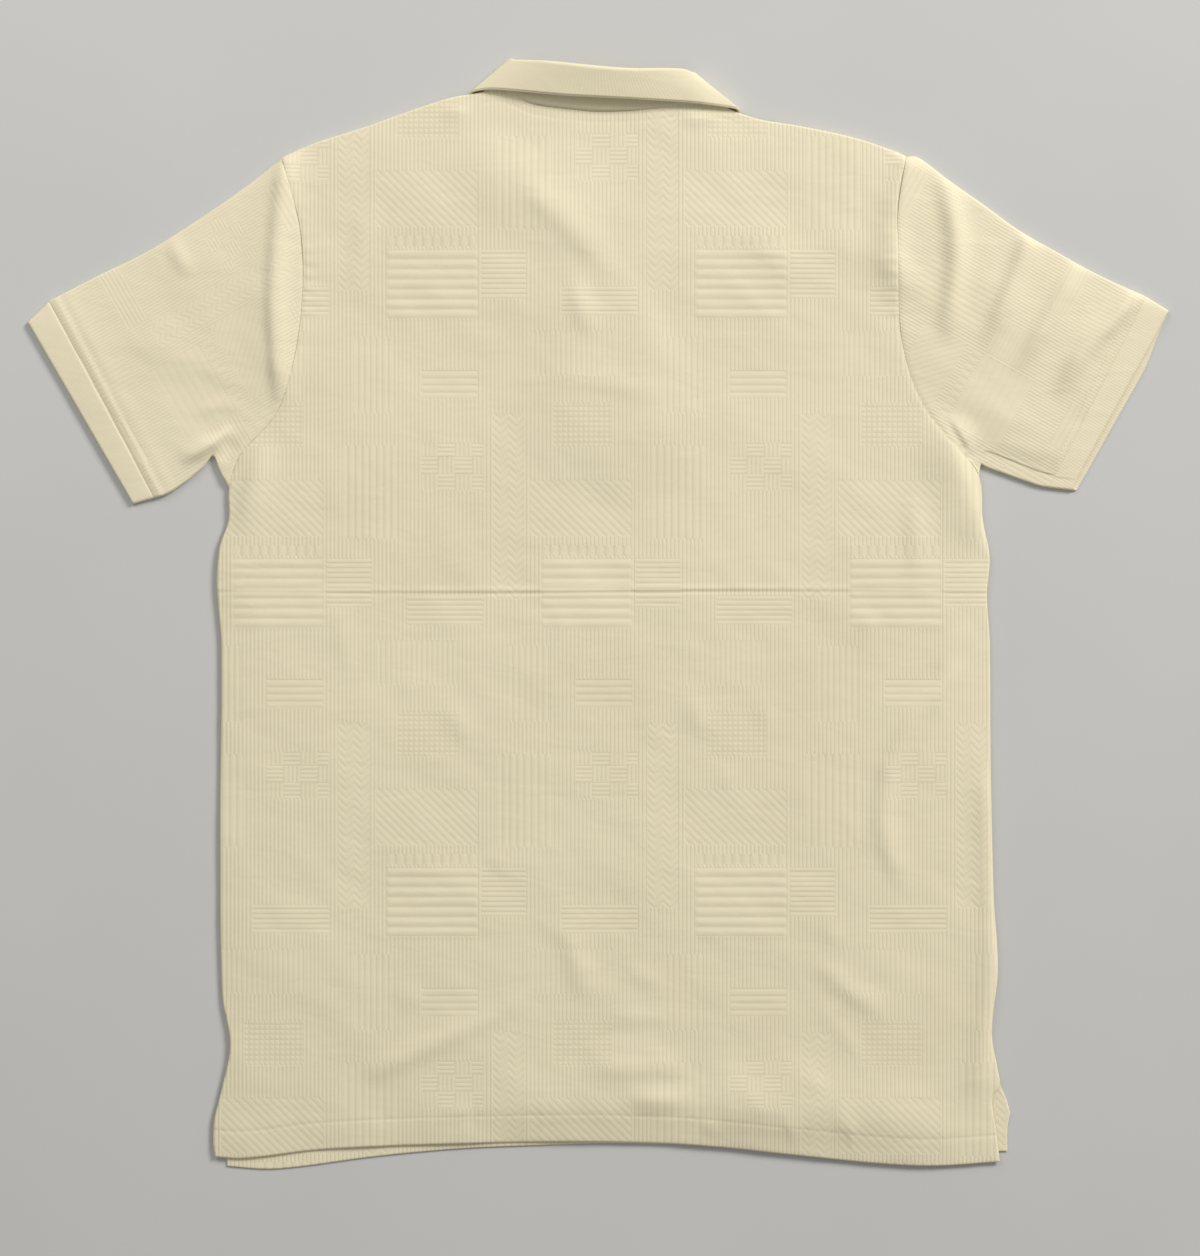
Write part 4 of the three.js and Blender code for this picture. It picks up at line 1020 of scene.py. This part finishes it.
def collar_section(station, middle):
    """The band's middle line at a station, from its seam over the roll to its free edge."""
    seam_x, roll_x, roll_y, edge_x, edge_y, turn, lift = station
    facing = math.cos(math.radians(turn))
    on_back = turn < 45
    lift *= LEAN
    seam_y = collar_seam_y(seam_x, turn)
    stand = np.array([roll_x - seam_x, roll_y - seam_y])
    towards = stand / math.hypot(*stand)
    level = middle + STAND_HALF_GAP * facing
    seam_z = upper_level(seam_x, seam_y) + CLOTH / 2 if on_back else level
    inset = BACK_SEAM_INSET if on_back else NECKLINE_GAP
    seam = np.array([seam_x + towards[0] * inset, seam_y + towards[1] * inset, seam_z])
    roll = np.array([roll_x, roll_y, level + lift])

    from_seam = np.array([edge_x - seam_x, edge_y - seam_y])
    along = min(max(float(from_seam @ stand) / float(stand @ stand), 0.0), 1.0)
    gap = LEAF_GAP * facing
    if on_back:
        gap = LEAF_END_GAP + (LEAF_GAP - LEAF_END_GAP) * smooth(lift / LEAF_GAP_LIFT)
    edge_z = seam_z + (roll[2] - seam_z) * along + gap + LEAF_LIFT * lift
    edge = np.array([edge_x, edge_y, edge_z])

    rise = (roll - seam) / np.linalg.norm(roll - seam)
    side = 1 if seam_x < CENTRE_FRONT else -1
    away = np.array([-towards[1] * side, towards[0] * side, 0.0])
    outward = np.array([0.0, 0.0, facing]) + away * math.sin(math.radians(turn))
    outward -= outward @ rise * rise
    outward /= np.linalg.norm(outward)
    radius = ROLL_RADIUS + ROLL_SPREAD * lift
    turns = np.linspace(0, math.pi, ROLL_POINTS)[:, None]
    roll_line = roll + outward * radius * (1 - np.cos(turns)) + rise * radius * np.sin(turns)
    stand_line = seam + (roll - seam) * np.linspace(0, 1, STAND_POINTS, endpoint=False)[:, None]
    leaf_line = roll_line[-1] + (edge - roll_line[-1]) * np.linspace(0, 1, LEAF_POINTS + 1)[1:, None]
    return np.vstack([stand_line, roll_line, leaf_line])


def collar_sections():
    """The band's middle lines, at the stations and at even steps between them."""
    curves = [curve(list(enumerate(column))) for column in zip(*COLLAR)]
    places = np.linspace(0, len(COLLAR) - 1, (len(COLLAR) - 1) * COLLAR_STEPS + 1)
    middle = (PLACKET_RISE + CLOTH / 2 + upper_level(*NECK_LEFT) + CLOTH / 2) / 2
    return np.array([collar_section([float(c(place)) for c in curves], middle) for place in places])


def make_collar(material):
    sections = collar_sections()
    stations, points = sections.shape[:2]
    along = walked_along(sections[:, points // 3])
    over = np.linalg.norm(np.diff(sections, axis=1), axis=2).mean(axis=0)
    over = np.concatenate([[0], np.cumsum(over)])

    def place(station, point):
        found = sections[station.astype(int), point.astype(int)]
        return in_frame(found[:, 0], found[:, 1], found[:, 2])

    def weave(station, point):
        return np.stack([along[station.astype(int)], over[point.astype(int)]], -1)

    mesh = cloth_grid("collar", np.arange(stations), np.arange(points), place, weave)
    piece = add_piece("collar_band", mesh, material, "rib_knit", "collar")
    free_edge = sections[:, -1]
    return thicken(piece, RIB, 0.0), free_edge


# Placket and buttons

OUTER_STRIP_HEIGHT = PLACKET_RISE - SEAM_GAP
INNER_STRIP_HEIGHT = PLACKET_RISE + PLACKET_CLOTH
PLACKET_STITCH_INSET = 3.0
BUTTON_CROSS_HALF = 2.2
BUTTON_CROSS_HEIGHT = 0.62


def make_placket_strip(name, node, bottom, material):
    """One strip of the front closing, from the neckline to the placket's foot."""
    left, right = CENTRE_FRONT - PLACKET_WIDTH / 2, CENTRE_FRONT + PLACKET_WIDTH / 2
    foot = FRONT_NECK_MIDDLE - PLACKET_LENGTH
    columns = with_edges(spaced(left, right, 3.0), 0.6)
    rows = with_edges(spaced(0.0, 1.0, 0.02), 0.004)

    def plan(x, t):
        return x, foot + (front_neck_y(x) - SEAM_GAP - foot) * t

    def place(x, t):
        x, y = plan(x, t)
        edge = np.minimum.reduce([x - left, right - x, y - foot])
        height = bottom + PLACKET_CLOTH - rounded_edge(edge, 0.5)
        return in_frame(x, y, height - groove(edge - PLACKET_GROOVE_INSET, PLACKET_GROOVE))

    def weave(x, t):
        return np.stack(plan(x, t), -1)

    mesh = cloth_grid(name, columns, rows, place, weave)
    piece = add_piece(name, mesh, material, "relief_knit", node)
    return thicken(piece, PLACKET_CLOTH)


def make_button(number, drop, material):
    """A turned button with a rim and a sunk middle, which faces the surface."""
    bm = bmesh.new()
    verts = [bm.verts.new((radius * MM, 0, height * MM)) for radius, height in BUTTON_PROFILE]
    edges = [bm.edges.new(pair) for pair in zip(verts, verts[1:])]
    profile = [*verts, *edges]
    bmesh.ops.spin(
        bm, geom=profile, cent=(0, 0, 0), axis=(0, 0, 1), angle=math.tau, steps=40, use_merge=True
    )
    bmesh.ops.remove_doubles(bm, verts=bm.verts, dist=MERGE_DISTANCE)
    bmesh.ops.recalc_face_normals(bm, faces=bm.faces)
    centre = in_frame(CENTRE_FRONT, FRONT_NECK_MIDDLE - drop, 0)
    bmesh.ops.translate(bm, verts=bm.verts, vec=centre)
    mesh = mesh_of(bm, f"button_{number}")
    add_piece(f"pearl_button_{number}", mesh, material, "button", f"button_{number}")


# Stitching and seams


def on_back(x, y):
    """A line of plan points laid on the back's outer side, a little sunk into it, in the frame."""
    return in_frame(x, y, back_outside(x, y) - STITCH_SINK)


def stitch_row(bm, path, stitch=2.4, gap=0.9, thread=0.17):
    """Adds a row of stitches along a path in metres, each a small closed bead of thread."""
    walked = walked_along(path) / MM

    def point_at(distance):
        return Vector([np.interp(distance, walked, path[:, k]) for k in range(3)])

    for start in np.arange(gap, walked[-1] - stitch, stitch + gap):
        ends = point_at(start), point_at(start + stitch)
        ahead = ends[1] - ends[0]
        turn = ahead.to_track_quat("X", "Z").to_matrix().to_4x4()
        size = Matrix.Diagonal((ahead.length / 2, thread * MM, thread * MM, 1))
        matrix = Matrix.Translation((ends[0] + ends[1]) / 2) @ turn @ size
        bmesh.ops.create_icosphere(bm, subdivisions=1, radius=1.0, matrix=matrix)


def make_stitching(name, rows, slot, material):
    bm = bmesh.new()
    for path in rows:
        stitch_row(bm, path)
    return add_piece(name, mesh_of(bm, name), material, slot)


def placket_rows():
    """The box of stitches round the outer placket strip, on its side that faces the surface."""
    half = PLACKET_WIDTH / 2 - PLACKET_STITCH_INSET
    left, right = CENTRE_FRONT - half, CENTRE_FRONT + half
    top = FRONT_NECK_MIDDLE - PLACKET_STITCH_INSET
    foot = FRONT_NECK_MIDDLE - PLACKET_LENGTH + PLACKET_STITCH_INSET
    low = OUTER_STRIP_HEIGHT + STITCH_SINK
    corners = [(left, top), (left, foot), (right, foot), (right, top)]
    return [in_frame(*np.array([a, b], float).T, np.full(2, low)) for a, b in zip(corners, corners[1:])]


def button_crosses():
    """Two crossed stitches in the sunk middle of each button, on its side that faces the surface."""
    rows = []
    for drop in BUTTON_DROPS:
        x, y = CENTRE_FRONT, FRONT_NECK_MIDDLE - drop
        for slant in (-1, 1):
            along = np.array([-BUTTON_CROSS_HALF, BUTTON_CROSS_HALF])
            rows.append(in_frame(x + along, y + along * slant, np.full(2, BUTTON_CROSS_HEIGHT)))
    return rows


def rolled_edge(name, line, radius, material, slot):
    """A tube of cloth along a line of points in space. radius is one number, or one for each point."""
    radius = np.broadcast_to(radius, len(line))
    ahead = np.gradient(line, axis=0)
    ahead /= np.linalg.norm(ahead, axis=1)[:, None]
    side = np.cross(ahead, (0, 0, 1))
    side /= np.linalg.norm(side, axis=1)[:, None]
    up = np.cross(side, ahead)
    angles = np.linspace(0, math.tau, 9)
    walked = walked_along(line)

    def place(station, k):
        at, angle = station.astype(int), angles[k.astype(int)][:, None]
        point = line[at] + radius[at][:, None] * (side[at] * np.cos(angle) + up[at] * np.sin(angle))
        return in_frame(point[:, 0], point[:, 1], point[:, 2])

    def weave(station, k):
        return np.stack([walked[station.astype(int)], k * 0.4], -1)

    stations, ring = np.arange(len(line)), np.arange(len(angles))
    mesh = cloth_grid(name, stations, ring, place, weave, round_joined=True)
    with edited(mesh) as bm:
        bmesh.ops.holes_fill(bm, edges=[e for e in bm.edges if e.is_boundary], sides=20)
        bmesh.ops.recalc_face_normals(bm, faces=bm.faces)
    return add_piece(name, mesh, material, slot)


def layer_seam(name, x, y, inwards, material):
    """A seam that joins the two layers along their edges. inwards is the way to the inner side."""
    under, over = lower_bottom(x, y) + CLOTH, upper_bottom(x, y)
    radius = (over - under) / 2 + LAYER_SEAM_SWELL
    line = np.column_stack([x + inwards[0] * radius, y + inwards[1] * radius, (under + over) / 2])
    rolled_edge(name, line, radius, material, "relief_knit")


# Materials


class Wiring:
    """Adds nodes to a tree. An input is another node's output or a plain number."""

    def __init__(self, tree):
        self.tree = tree

    def link(self, value, socket):
        if isinstance(value, bpy.types.NodeSocket):
            self.tree.links.new(value, socket)
        else:
            socket.default_value = value

    def add(self, kind, **inputs):
        node = self.tree.nodes.new(kind)
        for name, value in inputs.items():
            self.link(value, node.inputs[name.replace("_", " ")])
        return node

    def math(self, operation, *values, clamp=False):
        node = self.tree.nodes.new("ShaderNodeMath")
        node.operation = operation
        node.use_clamp = clamp
        for value, socket in zip(values, node.inputs):
            self.link(value, socket)
        return node.outputs[0]

    def mix(self, factor, a, b):
        """From a to b by a factor, for numbers."""
        return self.math("MULTIPLY_ADD", self.math("SUBTRACT", b, a), factor, a)


def group(name, inputs, outputs):
    """A shader node group with named number or vector inputs and number outputs."""
    tree = bpy.data.node_groups.new(name, "ShaderNodeTree")
    for label, kind, default in inputs:
        socket = tree.interface.new_socket(label, in_out="INPUT", socket_type=kind)
        if default is not None:
            socket.default_value = default
    for label in outputs:
        tree.interface.new_socket(label, in_out="OUTPUT", socket_type="NodeSocketFloat")
    wiring = Wiring(tree)
    return tree, wiring, tree.nodes.new("NodeGroupInput"), tree.nodes.new("NodeGroupOutput")


# The patchwork repeats in tiles, every other row of them moved by half a tile.
# Patches in a tile, in mm: kind, left, right, foot, top, pitch, depth.
TILE = 216.0
TILE_CORNER = (-156.0, -10.0)
PATCHES = [
    ("bars", 8, 72, 0, 49, 7.0, 0.08),
    ("ribs", 8, 72, 50, 58, 6.4, 0.17),
    ("bars", 74, 106, 14, 49, 3.5, 0.15),
    ("slants", 0, 72, 64, 104, 6.0, 0.11),
    ("ribs", 84, 124, 62, 128, 5.0, 0.17),
    ("bars", 130, 184, 2, 23, 3.5, 0.15),
    ("basket", 140, 184, 96, 130, 3.0, 0.13),
    ("chevrons", 190, 212, 20, 150, 5.5, 0.11),
    ("seeds", 16, 58, 126, 158, 3.6, 0.14),
    ("ribs", 92, 122, 150, 204, 4.2, 0.16),
    ("bars", 140, 180, 160, 181, 5.0, 0.16),
    ("ribs", 0, 60, 176, 208, 3.6, 0.14),
]
PATCH_EDGE = 0.8
RIB_PITCH = 2.8
GROUND_DEPTH = 0.17
# The relief depth at which the grooves' painted shade is full.
GROOVE_SHADE_DEPTH = 0.24

# The rib bands of collar and cuffs, in metres.
RIB_BAND_PITCH = 0.0019
RIB_BAND_HEIGHT = 0.00005

# How far slow unevenness and lint draw the cloth's colour towards its shade.
SLOW_STRENGTH = 0.35
LINT_STRENGTH = 0.22

CREAM = (0.835, 0.765, 0.556)
# The darker cream: painted shade in the knits' grooves, and the far end of their random slow and fine tone.
CREAM_SHADE = (0.56, 0.47, 0.29)
CUFF_CREAM = (0.85, 0.775, 0.565)
COLLAR_CREAM = (0.80, 0.73, 0.525)
THREAD_COLOURS = (0.85, 0.76, 0.53), (0.80, 0.71, 0.48)
PEARL_COLOURS = (0.82, 0.76, 0.60), (0.74, 0.66, 0.50)
FLOOR_COLOURS = (0.62, 0.62, 0.61), (0.58, 0.58, 0.575)


def ridge(w, place, pitch):
    """1 along the crest of each rib, 0 in the narrow grooves between them."""
    return w.math("ABSOLUTE", w.math("SINE", w.math("MULTIPLY", place, math.pi / pitch)))


def patch_pattern(w, kind, x, y, left, foot, width, pitch):
    """The crests of one patch, from 0 to 1, by its kind."""
    inside_x, inside_y = w.math("SUBTRACT", x, left), w.math("SUBTRACT", y, foot)
    if kind == "bars":
        return ridge(w, inside_y, pitch)
    if kind == "ribs":
        return ridge(w, inside_x, pitch)
    if kind == "slants":
        return ridge(w, w.math("ADD", inside_x, inside_y), pitch)
    if kind == "basket":
        cell = pitch * 4
        column = w.math("FLOOR", w.math("DIVIDE", inside_x, cell))
        row = w.math("FLOOR", w.math("DIVIDE", inside_y, cell))
        odd = w.math("MODULO", w.math("ADD", column, row), 2.0)
        return w.mix(odd, ridge(w, inside_x, pitch), ridge(w, inside_y, pitch))
    if kind == "chevrons":
        zigzag = w.math("PINGPONG", inside_x, width / 4)
        return ridge(w, w.math("ADD", inside_y, zigzag), pitch)
    across, up = ridge(w, inside_x, pitch), ridge(w, inside_y, pitch)
    return w.math("MULTIPLY", across, up)


def patchwork_group():
    """Reads a place on the cloth in metres. Gives the relief's height in metres and the painted shade of its
    grooves.
    """
    tree, w, given, result = group(
        "rib patchwork",
        [("Place", "NodeSocketVector", None), ("Depth", "NodeSocketFloat", 1.0)],
        ["Height", "Groove_shade"],
    )
    apart = w.add("ShaderNodeSeparateXYZ", Vector=given.outputs["Place"])
    x = w.math("MULTIPLY", apart.outputs["X"], 1000.0)
    y = w.math("MULTIPLY", apart.outputs["Y"], 1000.0)
    up = w.math("SUBTRACT", y, TILE_CORNER[1])
    row = w.math("FLOOR", w.math("DIVIDE", up, TILE))
    odd = w.math("FLOORED_MODULO", row, 2.0)
    across = w.math("SUBTRACT", x, TILE_CORNER[0] - TILE / 2)
    moved = w.math("SUBTRACT", across, w.math("MULTIPLY", odd, TILE / 2))
    tile_x = w.math("FLOORED_MODULO", moved, TILE)
    tile_y = w.math("FLOORED_MODULO", up, TILE)
    crest = ridge(w, x, RIB_PITCH)
    depth = GROUND_DEPTH
    for kind, left, right, foot, top, pitch, patch_depth in PATCHES:
        sides = w.math("MINIMUM", w.math("SUBTRACT", tile_x, left), w.math("SUBTRACT", right, tile_x))
        ends = w.math("MINIMUM", w.math("SUBTRACT", tile_y, foot), w.math("SUBTRACT", top, tile_y))
        mask = w.math("DIVIDE", w.math("MINIMUM", sides, ends), PATCH_EDGE, clamp=True)
        pattern = patch_pattern(w, kind, tile_x, tile_y, left, foot, right - left, pitch)
        crest = w.mix(mask, crest, pattern)
        depth = w.mix(mask, depth, patch_depth)
    height = w.math("MULTIPLY", w.math("MULTIPLY", crest, depth), MM)
    height = w.math("MULTIPLY", height, given.outputs["Depth"])
    # Painted shade in the grooves between the crests, stronger in deeper patches.
    hollow = w.math("POWER", w.math("SUBTRACT", 1.0, crest), 2.0)
    shaded = w.math("MULTIPLY", hollow, w.math("DIVIDE", depth, GROOVE_SHADE_DEPTH))
    w.link(height, result.inputs["Height"])
    w.link(shaded, result.inputs["Groove_shade"])
    return tree


def fibre_group():
    """Loose yarn fibres and faint wear. Gives a fine height in metres and slow and fine variation."""
    tree, w, given, result = group(
        "yarn fibres", [("Place", "NodeSocketVector", None)], ["Height", "Slow", "Fine"]
    )
    place = given.outputs["Place"]
    loops = w.add("ShaderNodeTexNoise", Vector=place, Scale=1900.0, Detail=2.0)
    lint = w.add("ShaderNodeTexNoise", Vector=place, Scale=520.0, Detail=4.0, Roughness=0.7)
    slow = w.add("ShaderNodeTexNoise", Vector=place, Scale=9.0, Detail=3.0)
    askew = w.add("ShaderNodeMapping", Vector=place)
    askew.inputs["Rotation"].default_value = (0, 0, math.radians(52))
    askew.inputs["Scale"].default_value = (0.35, 1.0, 1.0)
    creases = w.add(
        "ShaderNodeTexNoise", Vector=askew.outputs[0], Scale=62.0, Detail=2.5, Distortion=0.6
    )
    both = w.math("ADD", loops.outputs[0], lint.outputs[0])
    creased = w.math("MULTIPLY", creases.outputs[0], 0.0005)
    w.link(w.math("MULTIPLY_ADD", both, 0.00005, creased), result.inputs["Height"])
    w.link(slow.outputs[0], result.inputs["Slow"])
    w.link(lint.outputs[0], result.inputs["Fine"])
    return tree


def rib_group():
    """Plain close ribs across the weave map's x, with a pitch in metres, and the painted shade of the
    grooves between them.
    """
    tree, w, given, result = group(
        "fine ribs",
        [("Place", "NodeSocketVector", None), ("Pitch", "NodeSocketFloat", RIB_BAND_PITCH)],
        ["Height", "Groove_shade"],
    )
    apart = w.add("ShaderNodeSeparateXYZ", Vector=given.outputs["Place"])
    turn = w.math("DIVIDE", w.math("MULTIPLY", apart.outputs["X"], math.pi), given.outputs["Pitch"])
    crest = w.math("ABSOLUTE", w.math("SINE", turn))
    w.link(w.math("MULTIPLY", crest, RIB_BAND_HEIGHT), result.inputs["Height"])
    # The grooves between the ribs, as a mask for painted shade.
    w.link(w.math("POWER", w.math("SUBTRACT", 1.0, crest), 2.0), result.inputs["Groove_shade"])
    return tree


def empty_material(name):
    material = bpy.data.materials.new(name)
    material.use_nodes = True
    material.node_tree.nodes.clear()
    return material, Wiring(material.node_tree)


def group_node(w, tree, **values):
    node = w.tree.nodes.new("ShaderNodeGroup")
    node.node_tree = tree
    for label, value in values.items():
        w.link(value, node.inputs[label])
    return node.outputs


def shade_surface(w, factor, light, shade, roughness, normal, **shader_values):
    """The shader of every material: two colours mixed by a factor, a roughness and a relief."""
    colour = w.tree.nodes.new("ShaderNodeMix")
    colour.data_type = "RGBA"
    w.link(factor, colour.inputs["Factor"])
    colour.inputs["A"].default_value = (*light, 1)
    colour.inputs["B"].default_value = (*shade, 1)
    shader = w.add("ShaderNodeBsdfPrincipled", Roughness=roughness, Normal=normal, **shader_values)
    w.link(colour.outputs["Result"], shader.inputs["Base Color"])
    w.add("ShaderNodeOutputMaterial", Surface=shader.outputs["BSDF"])


def cloth_material(name, relief, fibres, light, groove_shade_strength, **relief_values):
    """A knit: painted shade in its relief's grooves, and its random slow unevenness and lint, draw the
    colour from light to shade.
    """
    material, w = empty_material(name)
    weave = w.tree.nodes.new("ShaderNodeUVMap")
    weave.uv_map = "weave"
    place = w.tree.nodes.new("ShaderNodeTexCoord").outputs["Object"]
    knitted = group_node(w, relief, Place=weave.outputs["UV"], **relief_values)
    yarn = group_node(w, fibres, Place=place)
    # Shade painted into the relief's grooves, by the given strength.
    grooves = w.math("MULTIPLY", knitted["Groove_shade"], groove_shade_strength)
    slow = w.math("MULTIPLY", w.math("SUBTRACT", yarn["Slow"], 0.5), SLOW_STRENGTH)
    lint = w.math("MULTIPLY", w.math("SUBTRACT", yarn["Fine"], 0.5), LINT_STRENGTH)
    factor = w.math("ADD", w.math("ADD", grooves, slow), lint, clamp=True)
    height = w.math("ADD", knitted["Height"], yarn["Height"])
    relief_bump = w.add("ShaderNodeBump", Strength=1.0, Distance=1.0, Height=height)
    roughness = w.math("MULTIPLY_ADD", yarn["Fine"], 0.16, 0.76)
    sheen = {
        "Specular_IOR_Level": 0.25,
        "Sheen_Weight": 0.18,
        "Sheen_Roughness": 0.5,
        "Sheen_Tint": (1.0, 0.95, 0.84, 1),
    }
    normal = relief_bump.outputs["Normal"]
    shade_surface(w, factor, light, CREAM_SHADE, roughness, normal, **sheen)
    return material


def plain_material(name, colours, roughness, scale, specular=0.3):
    """A finish with slow colour variation and fine grain."""
    material, w = empty_material(name)
    place = w.tree.nodes.new("ShaderNodeTexCoord").outputs["Object"]
    grain = w.add("ShaderNodeTexNoise", Vector=place, Scale=scale, Detail=3.0).outputs[0]
    varied = w.math("MULTIPLY_ADD", grain, 0.1, roughness)
    grain_bump = w.add("ShaderNodeBump", Strength=0.3, Distance=0.0001, Height=grain)
    normal = grain_bump.outputs["Normal"]
    shade_surface(w, grain, *colours, varied, normal, Specular_IOR_Level=specular)
    return material


# Stage, in metres

FLOOR_HALF = 6.0
KEY_PLACE = (3.28, 3.06, 2.67)
KEY_SIZE = 1.5
KEY_POWER = 220
KEY_COLOUR = (1.0, 0.985, 0.96)
FILL_PLACE = (-1.1, 1.5, 1.3)
FILL_SIZE = 1.2
FILL_POWER = 12
FILL_COLOUR = (1.0, 0.985, 0.97)
ROOM_COLOUR = (1.0, 0.98, 0.94, 1)
ROOM_STRENGTH = 0.34


def make_floor():
    bm = bmesh.new()
    bmesh.ops.create_grid(bm, x_segments=1, y_segments=1, size=FLOOR_HALF)
    mesh = mesh_of(bm, "floor")
    floor = bpy.data.objects.new("floor", mesh)
    bpy.context.scene.collection.objects.link(floor)
    mesh.materials.append(plain_material("pale floor", FLOOR_COLOURS, 0.7, 6.0, 0.2))


def make_lamp(name, place, size, power, colour):
    lamp = bpy.data.lights.new(name, "AREA")
    lamp.shape = "SQUARE"
    lamp.size = size
    lamp.energy = power
    lamp.color = colour
    holder = bpy.data.objects.new(name, lamp)
    holder.location = place
    holder.rotation_mode = "QUATERNION"
    holder.rotation_quaternion = (-Vector(place)).to_track_quat("-Z", "Y")
    bpy.context.scene.collection.objects.link(holder)


def make_lights():
    make_lamp("key", KEY_PLACE, KEY_SIZE, KEY_POWER, KEY_COLOUR)
    make_lamp("fill", FILL_PLACE, FILL_SIZE, FILL_POWER, FILL_COLOUR)
    world = bpy.data.worlds.new("soft room")
    world.use_nodes = True
    background = world.node_tree.nodes["Background"]
    background.inputs["Color"].default_value = ROOM_COLOUR
    background.inputs["Strength"].default_value = ROOM_STRENGTH
    bpy.context.scene.world = world
    bpy.context.scene.view_settings.view_transform = "Standard"


# The picture's frame on the shirt: its size, and where its middle falls in the plan.
PICTURE_HEIGHT = 879.2
PICTURE_MIDDLE = (1.4, -9.8)
CAMERA_DISTANCE = 2400.0
CAMERA_SENSOR = 36.0


def make_camera():
    camera = bpy.data.cameras.new("camera")
    camera.sensor_width = CAMERA_SENSOR
    camera.lens = CAMERA_SENSOR * CAMERA_DISTANCE / PICTURE_HEIGHT
    camera.clip_end = 20
    holder = bpy.data.objects.new("camera", camera)
    holder.location = in_frame(*PICTURE_MIDDLE, CAMERA_DISTANCE + 3)
    bpy.context.scene.collection.objects.link(holder)
    bpy.context.scene.camera = holder


# Everything together

fibres = fibre_group()
patchwork = patchwork_group()
fine_ribs = rib_group()
# The number after each knit's colour is how strongly shade is painted into its grooves.
knit = cloth_material("cream relief knit", patchwork, fibres, CREAM, 0.43)
sleeve_knit = cloth_material("cream sleeve knit", patchwork, fibres, CREAM, 0.28, Depth=0.6)
cuff_rib = cloth_material("cream cuff rib", fine_ribs, fibres, CUFF_CREAM, 0.14)
collar_rib = cloth_material("cream collar rib", fine_ribs, fibres, COLLAR_CREAM, 0.12)
thread = plain_material("cream thread", THREAD_COLOURS, 0.6, 900.0)
pearl = plain_material("cream button resin", PEARL_COLOURS, 0.22, 60.0, 0.5)

make_camera()
make_floor()
make_lights()

front = make_front(knit)
back = make_back(knit)
sleeve_left, left_row = make_sleeve(
    "left_sleeve", "sleeve_left", LEFT_SLEEVE, left_armhole, sleeve_knit
)
sleeve_right, right_row = make_sleeve(
    "right_sleeve", "sleeve_right", RIGHT_SLEEVE, right_armhole, sleeve_knit
)
cuff_left = make_cuff("left_cuff", "cuff_left", LEFT_SLEEVE, cuff_rib)
cuff_right = make_cuff("right_cuff", "cuff_right", RIGHT_SLEEVE, cuff_rib)
collar, leaf_edge = make_collar(collar_rib)
collar_edge = rolled_edge("collar_edge", leaf_edge, COLLAR_EDGE_RADIUS, collar_rib, "rib_knit")
placket_outer = make_placket_strip("placket_strip_outer", "placket_outer", OUTER_STRIP_HEIGHT, knit)
placket_inner = make_placket_strip("placket_strip_inner", "placket_inner", INNER_STRIP_HEIGHT, knit)
for number, drop in enumerate(BUTTON_DROPS, 1):
    make_button(number, drop, pearl)

hem_x = np.linspace(*HEM_STITCH_SPAN, 400)
neck_x = np.linspace(*NECK_STITCH_SPAN, 160)
back_rows = [
    on_back(hem_x, back_hem_y(hem_x) + HEM_DEPTH),
    on_back(neck_x, back_neck_y(neck_x) - NECK_SEAM),
]
rim_x = np.linspace(*NECK_RIM_SPAN, 170)
rim_y = back_neck_y(rim_x)
rim_height = back_outside(rim_x, rim_y - NECK_TURN) - NECK_RIM_RADIUS + NECK_RIM_RISE
rim_line = np.column_stack([rim_x, rim_y + NECK_RIM_OUT, rim_height])
neck_rim = rolled_edge("neck_rim", rim_line, NECK_RIM_RADIUS, knit, "relief_knit")
left_y = np.linspace(LEFT_ARMPIT - 3, LEFT_VENT_TOP, 90)
right_y = np.linspace(RIGHT_ARMPIT - 3, RIGHT_VENT_TOP, 90)
left_x = np.linspace(-218, NECK_LEFT[0] - 2, 60)
right_x = np.linspace(NECK_RIGHT[0] + 2, 212, 60)
layer_seam("left_side_seam", back_left_x(left_y), left_y, (1, 0), knit)
layer_seam("right_side_seam", back_right_x(right_y), right_y, (-1, 0), knit)
layer_seam("left_shoulder_seam", left_x, left_shoulder_y(left_x), (0, -1), knit)
layer_seam("right_shoulder_seam", right_x, right_shoulder_y(right_x), (0, -1), knit)
back_stitches = make_stitching("back_stitches", back_rows, "relief_knit", thread)
left_stitches = make_stitching("left_sleeve_stitches", [left_row], "relief_knit", thread)
right_stitches = make_stitching("right_sleeve_stitches", [right_row], "relief_knit", thread)
placket_stitches = make_stitching("placket_stitches", placket_rows(), "relief_knit", thread)
make_stitching("button_threads", button_crosses(), "button", thread)
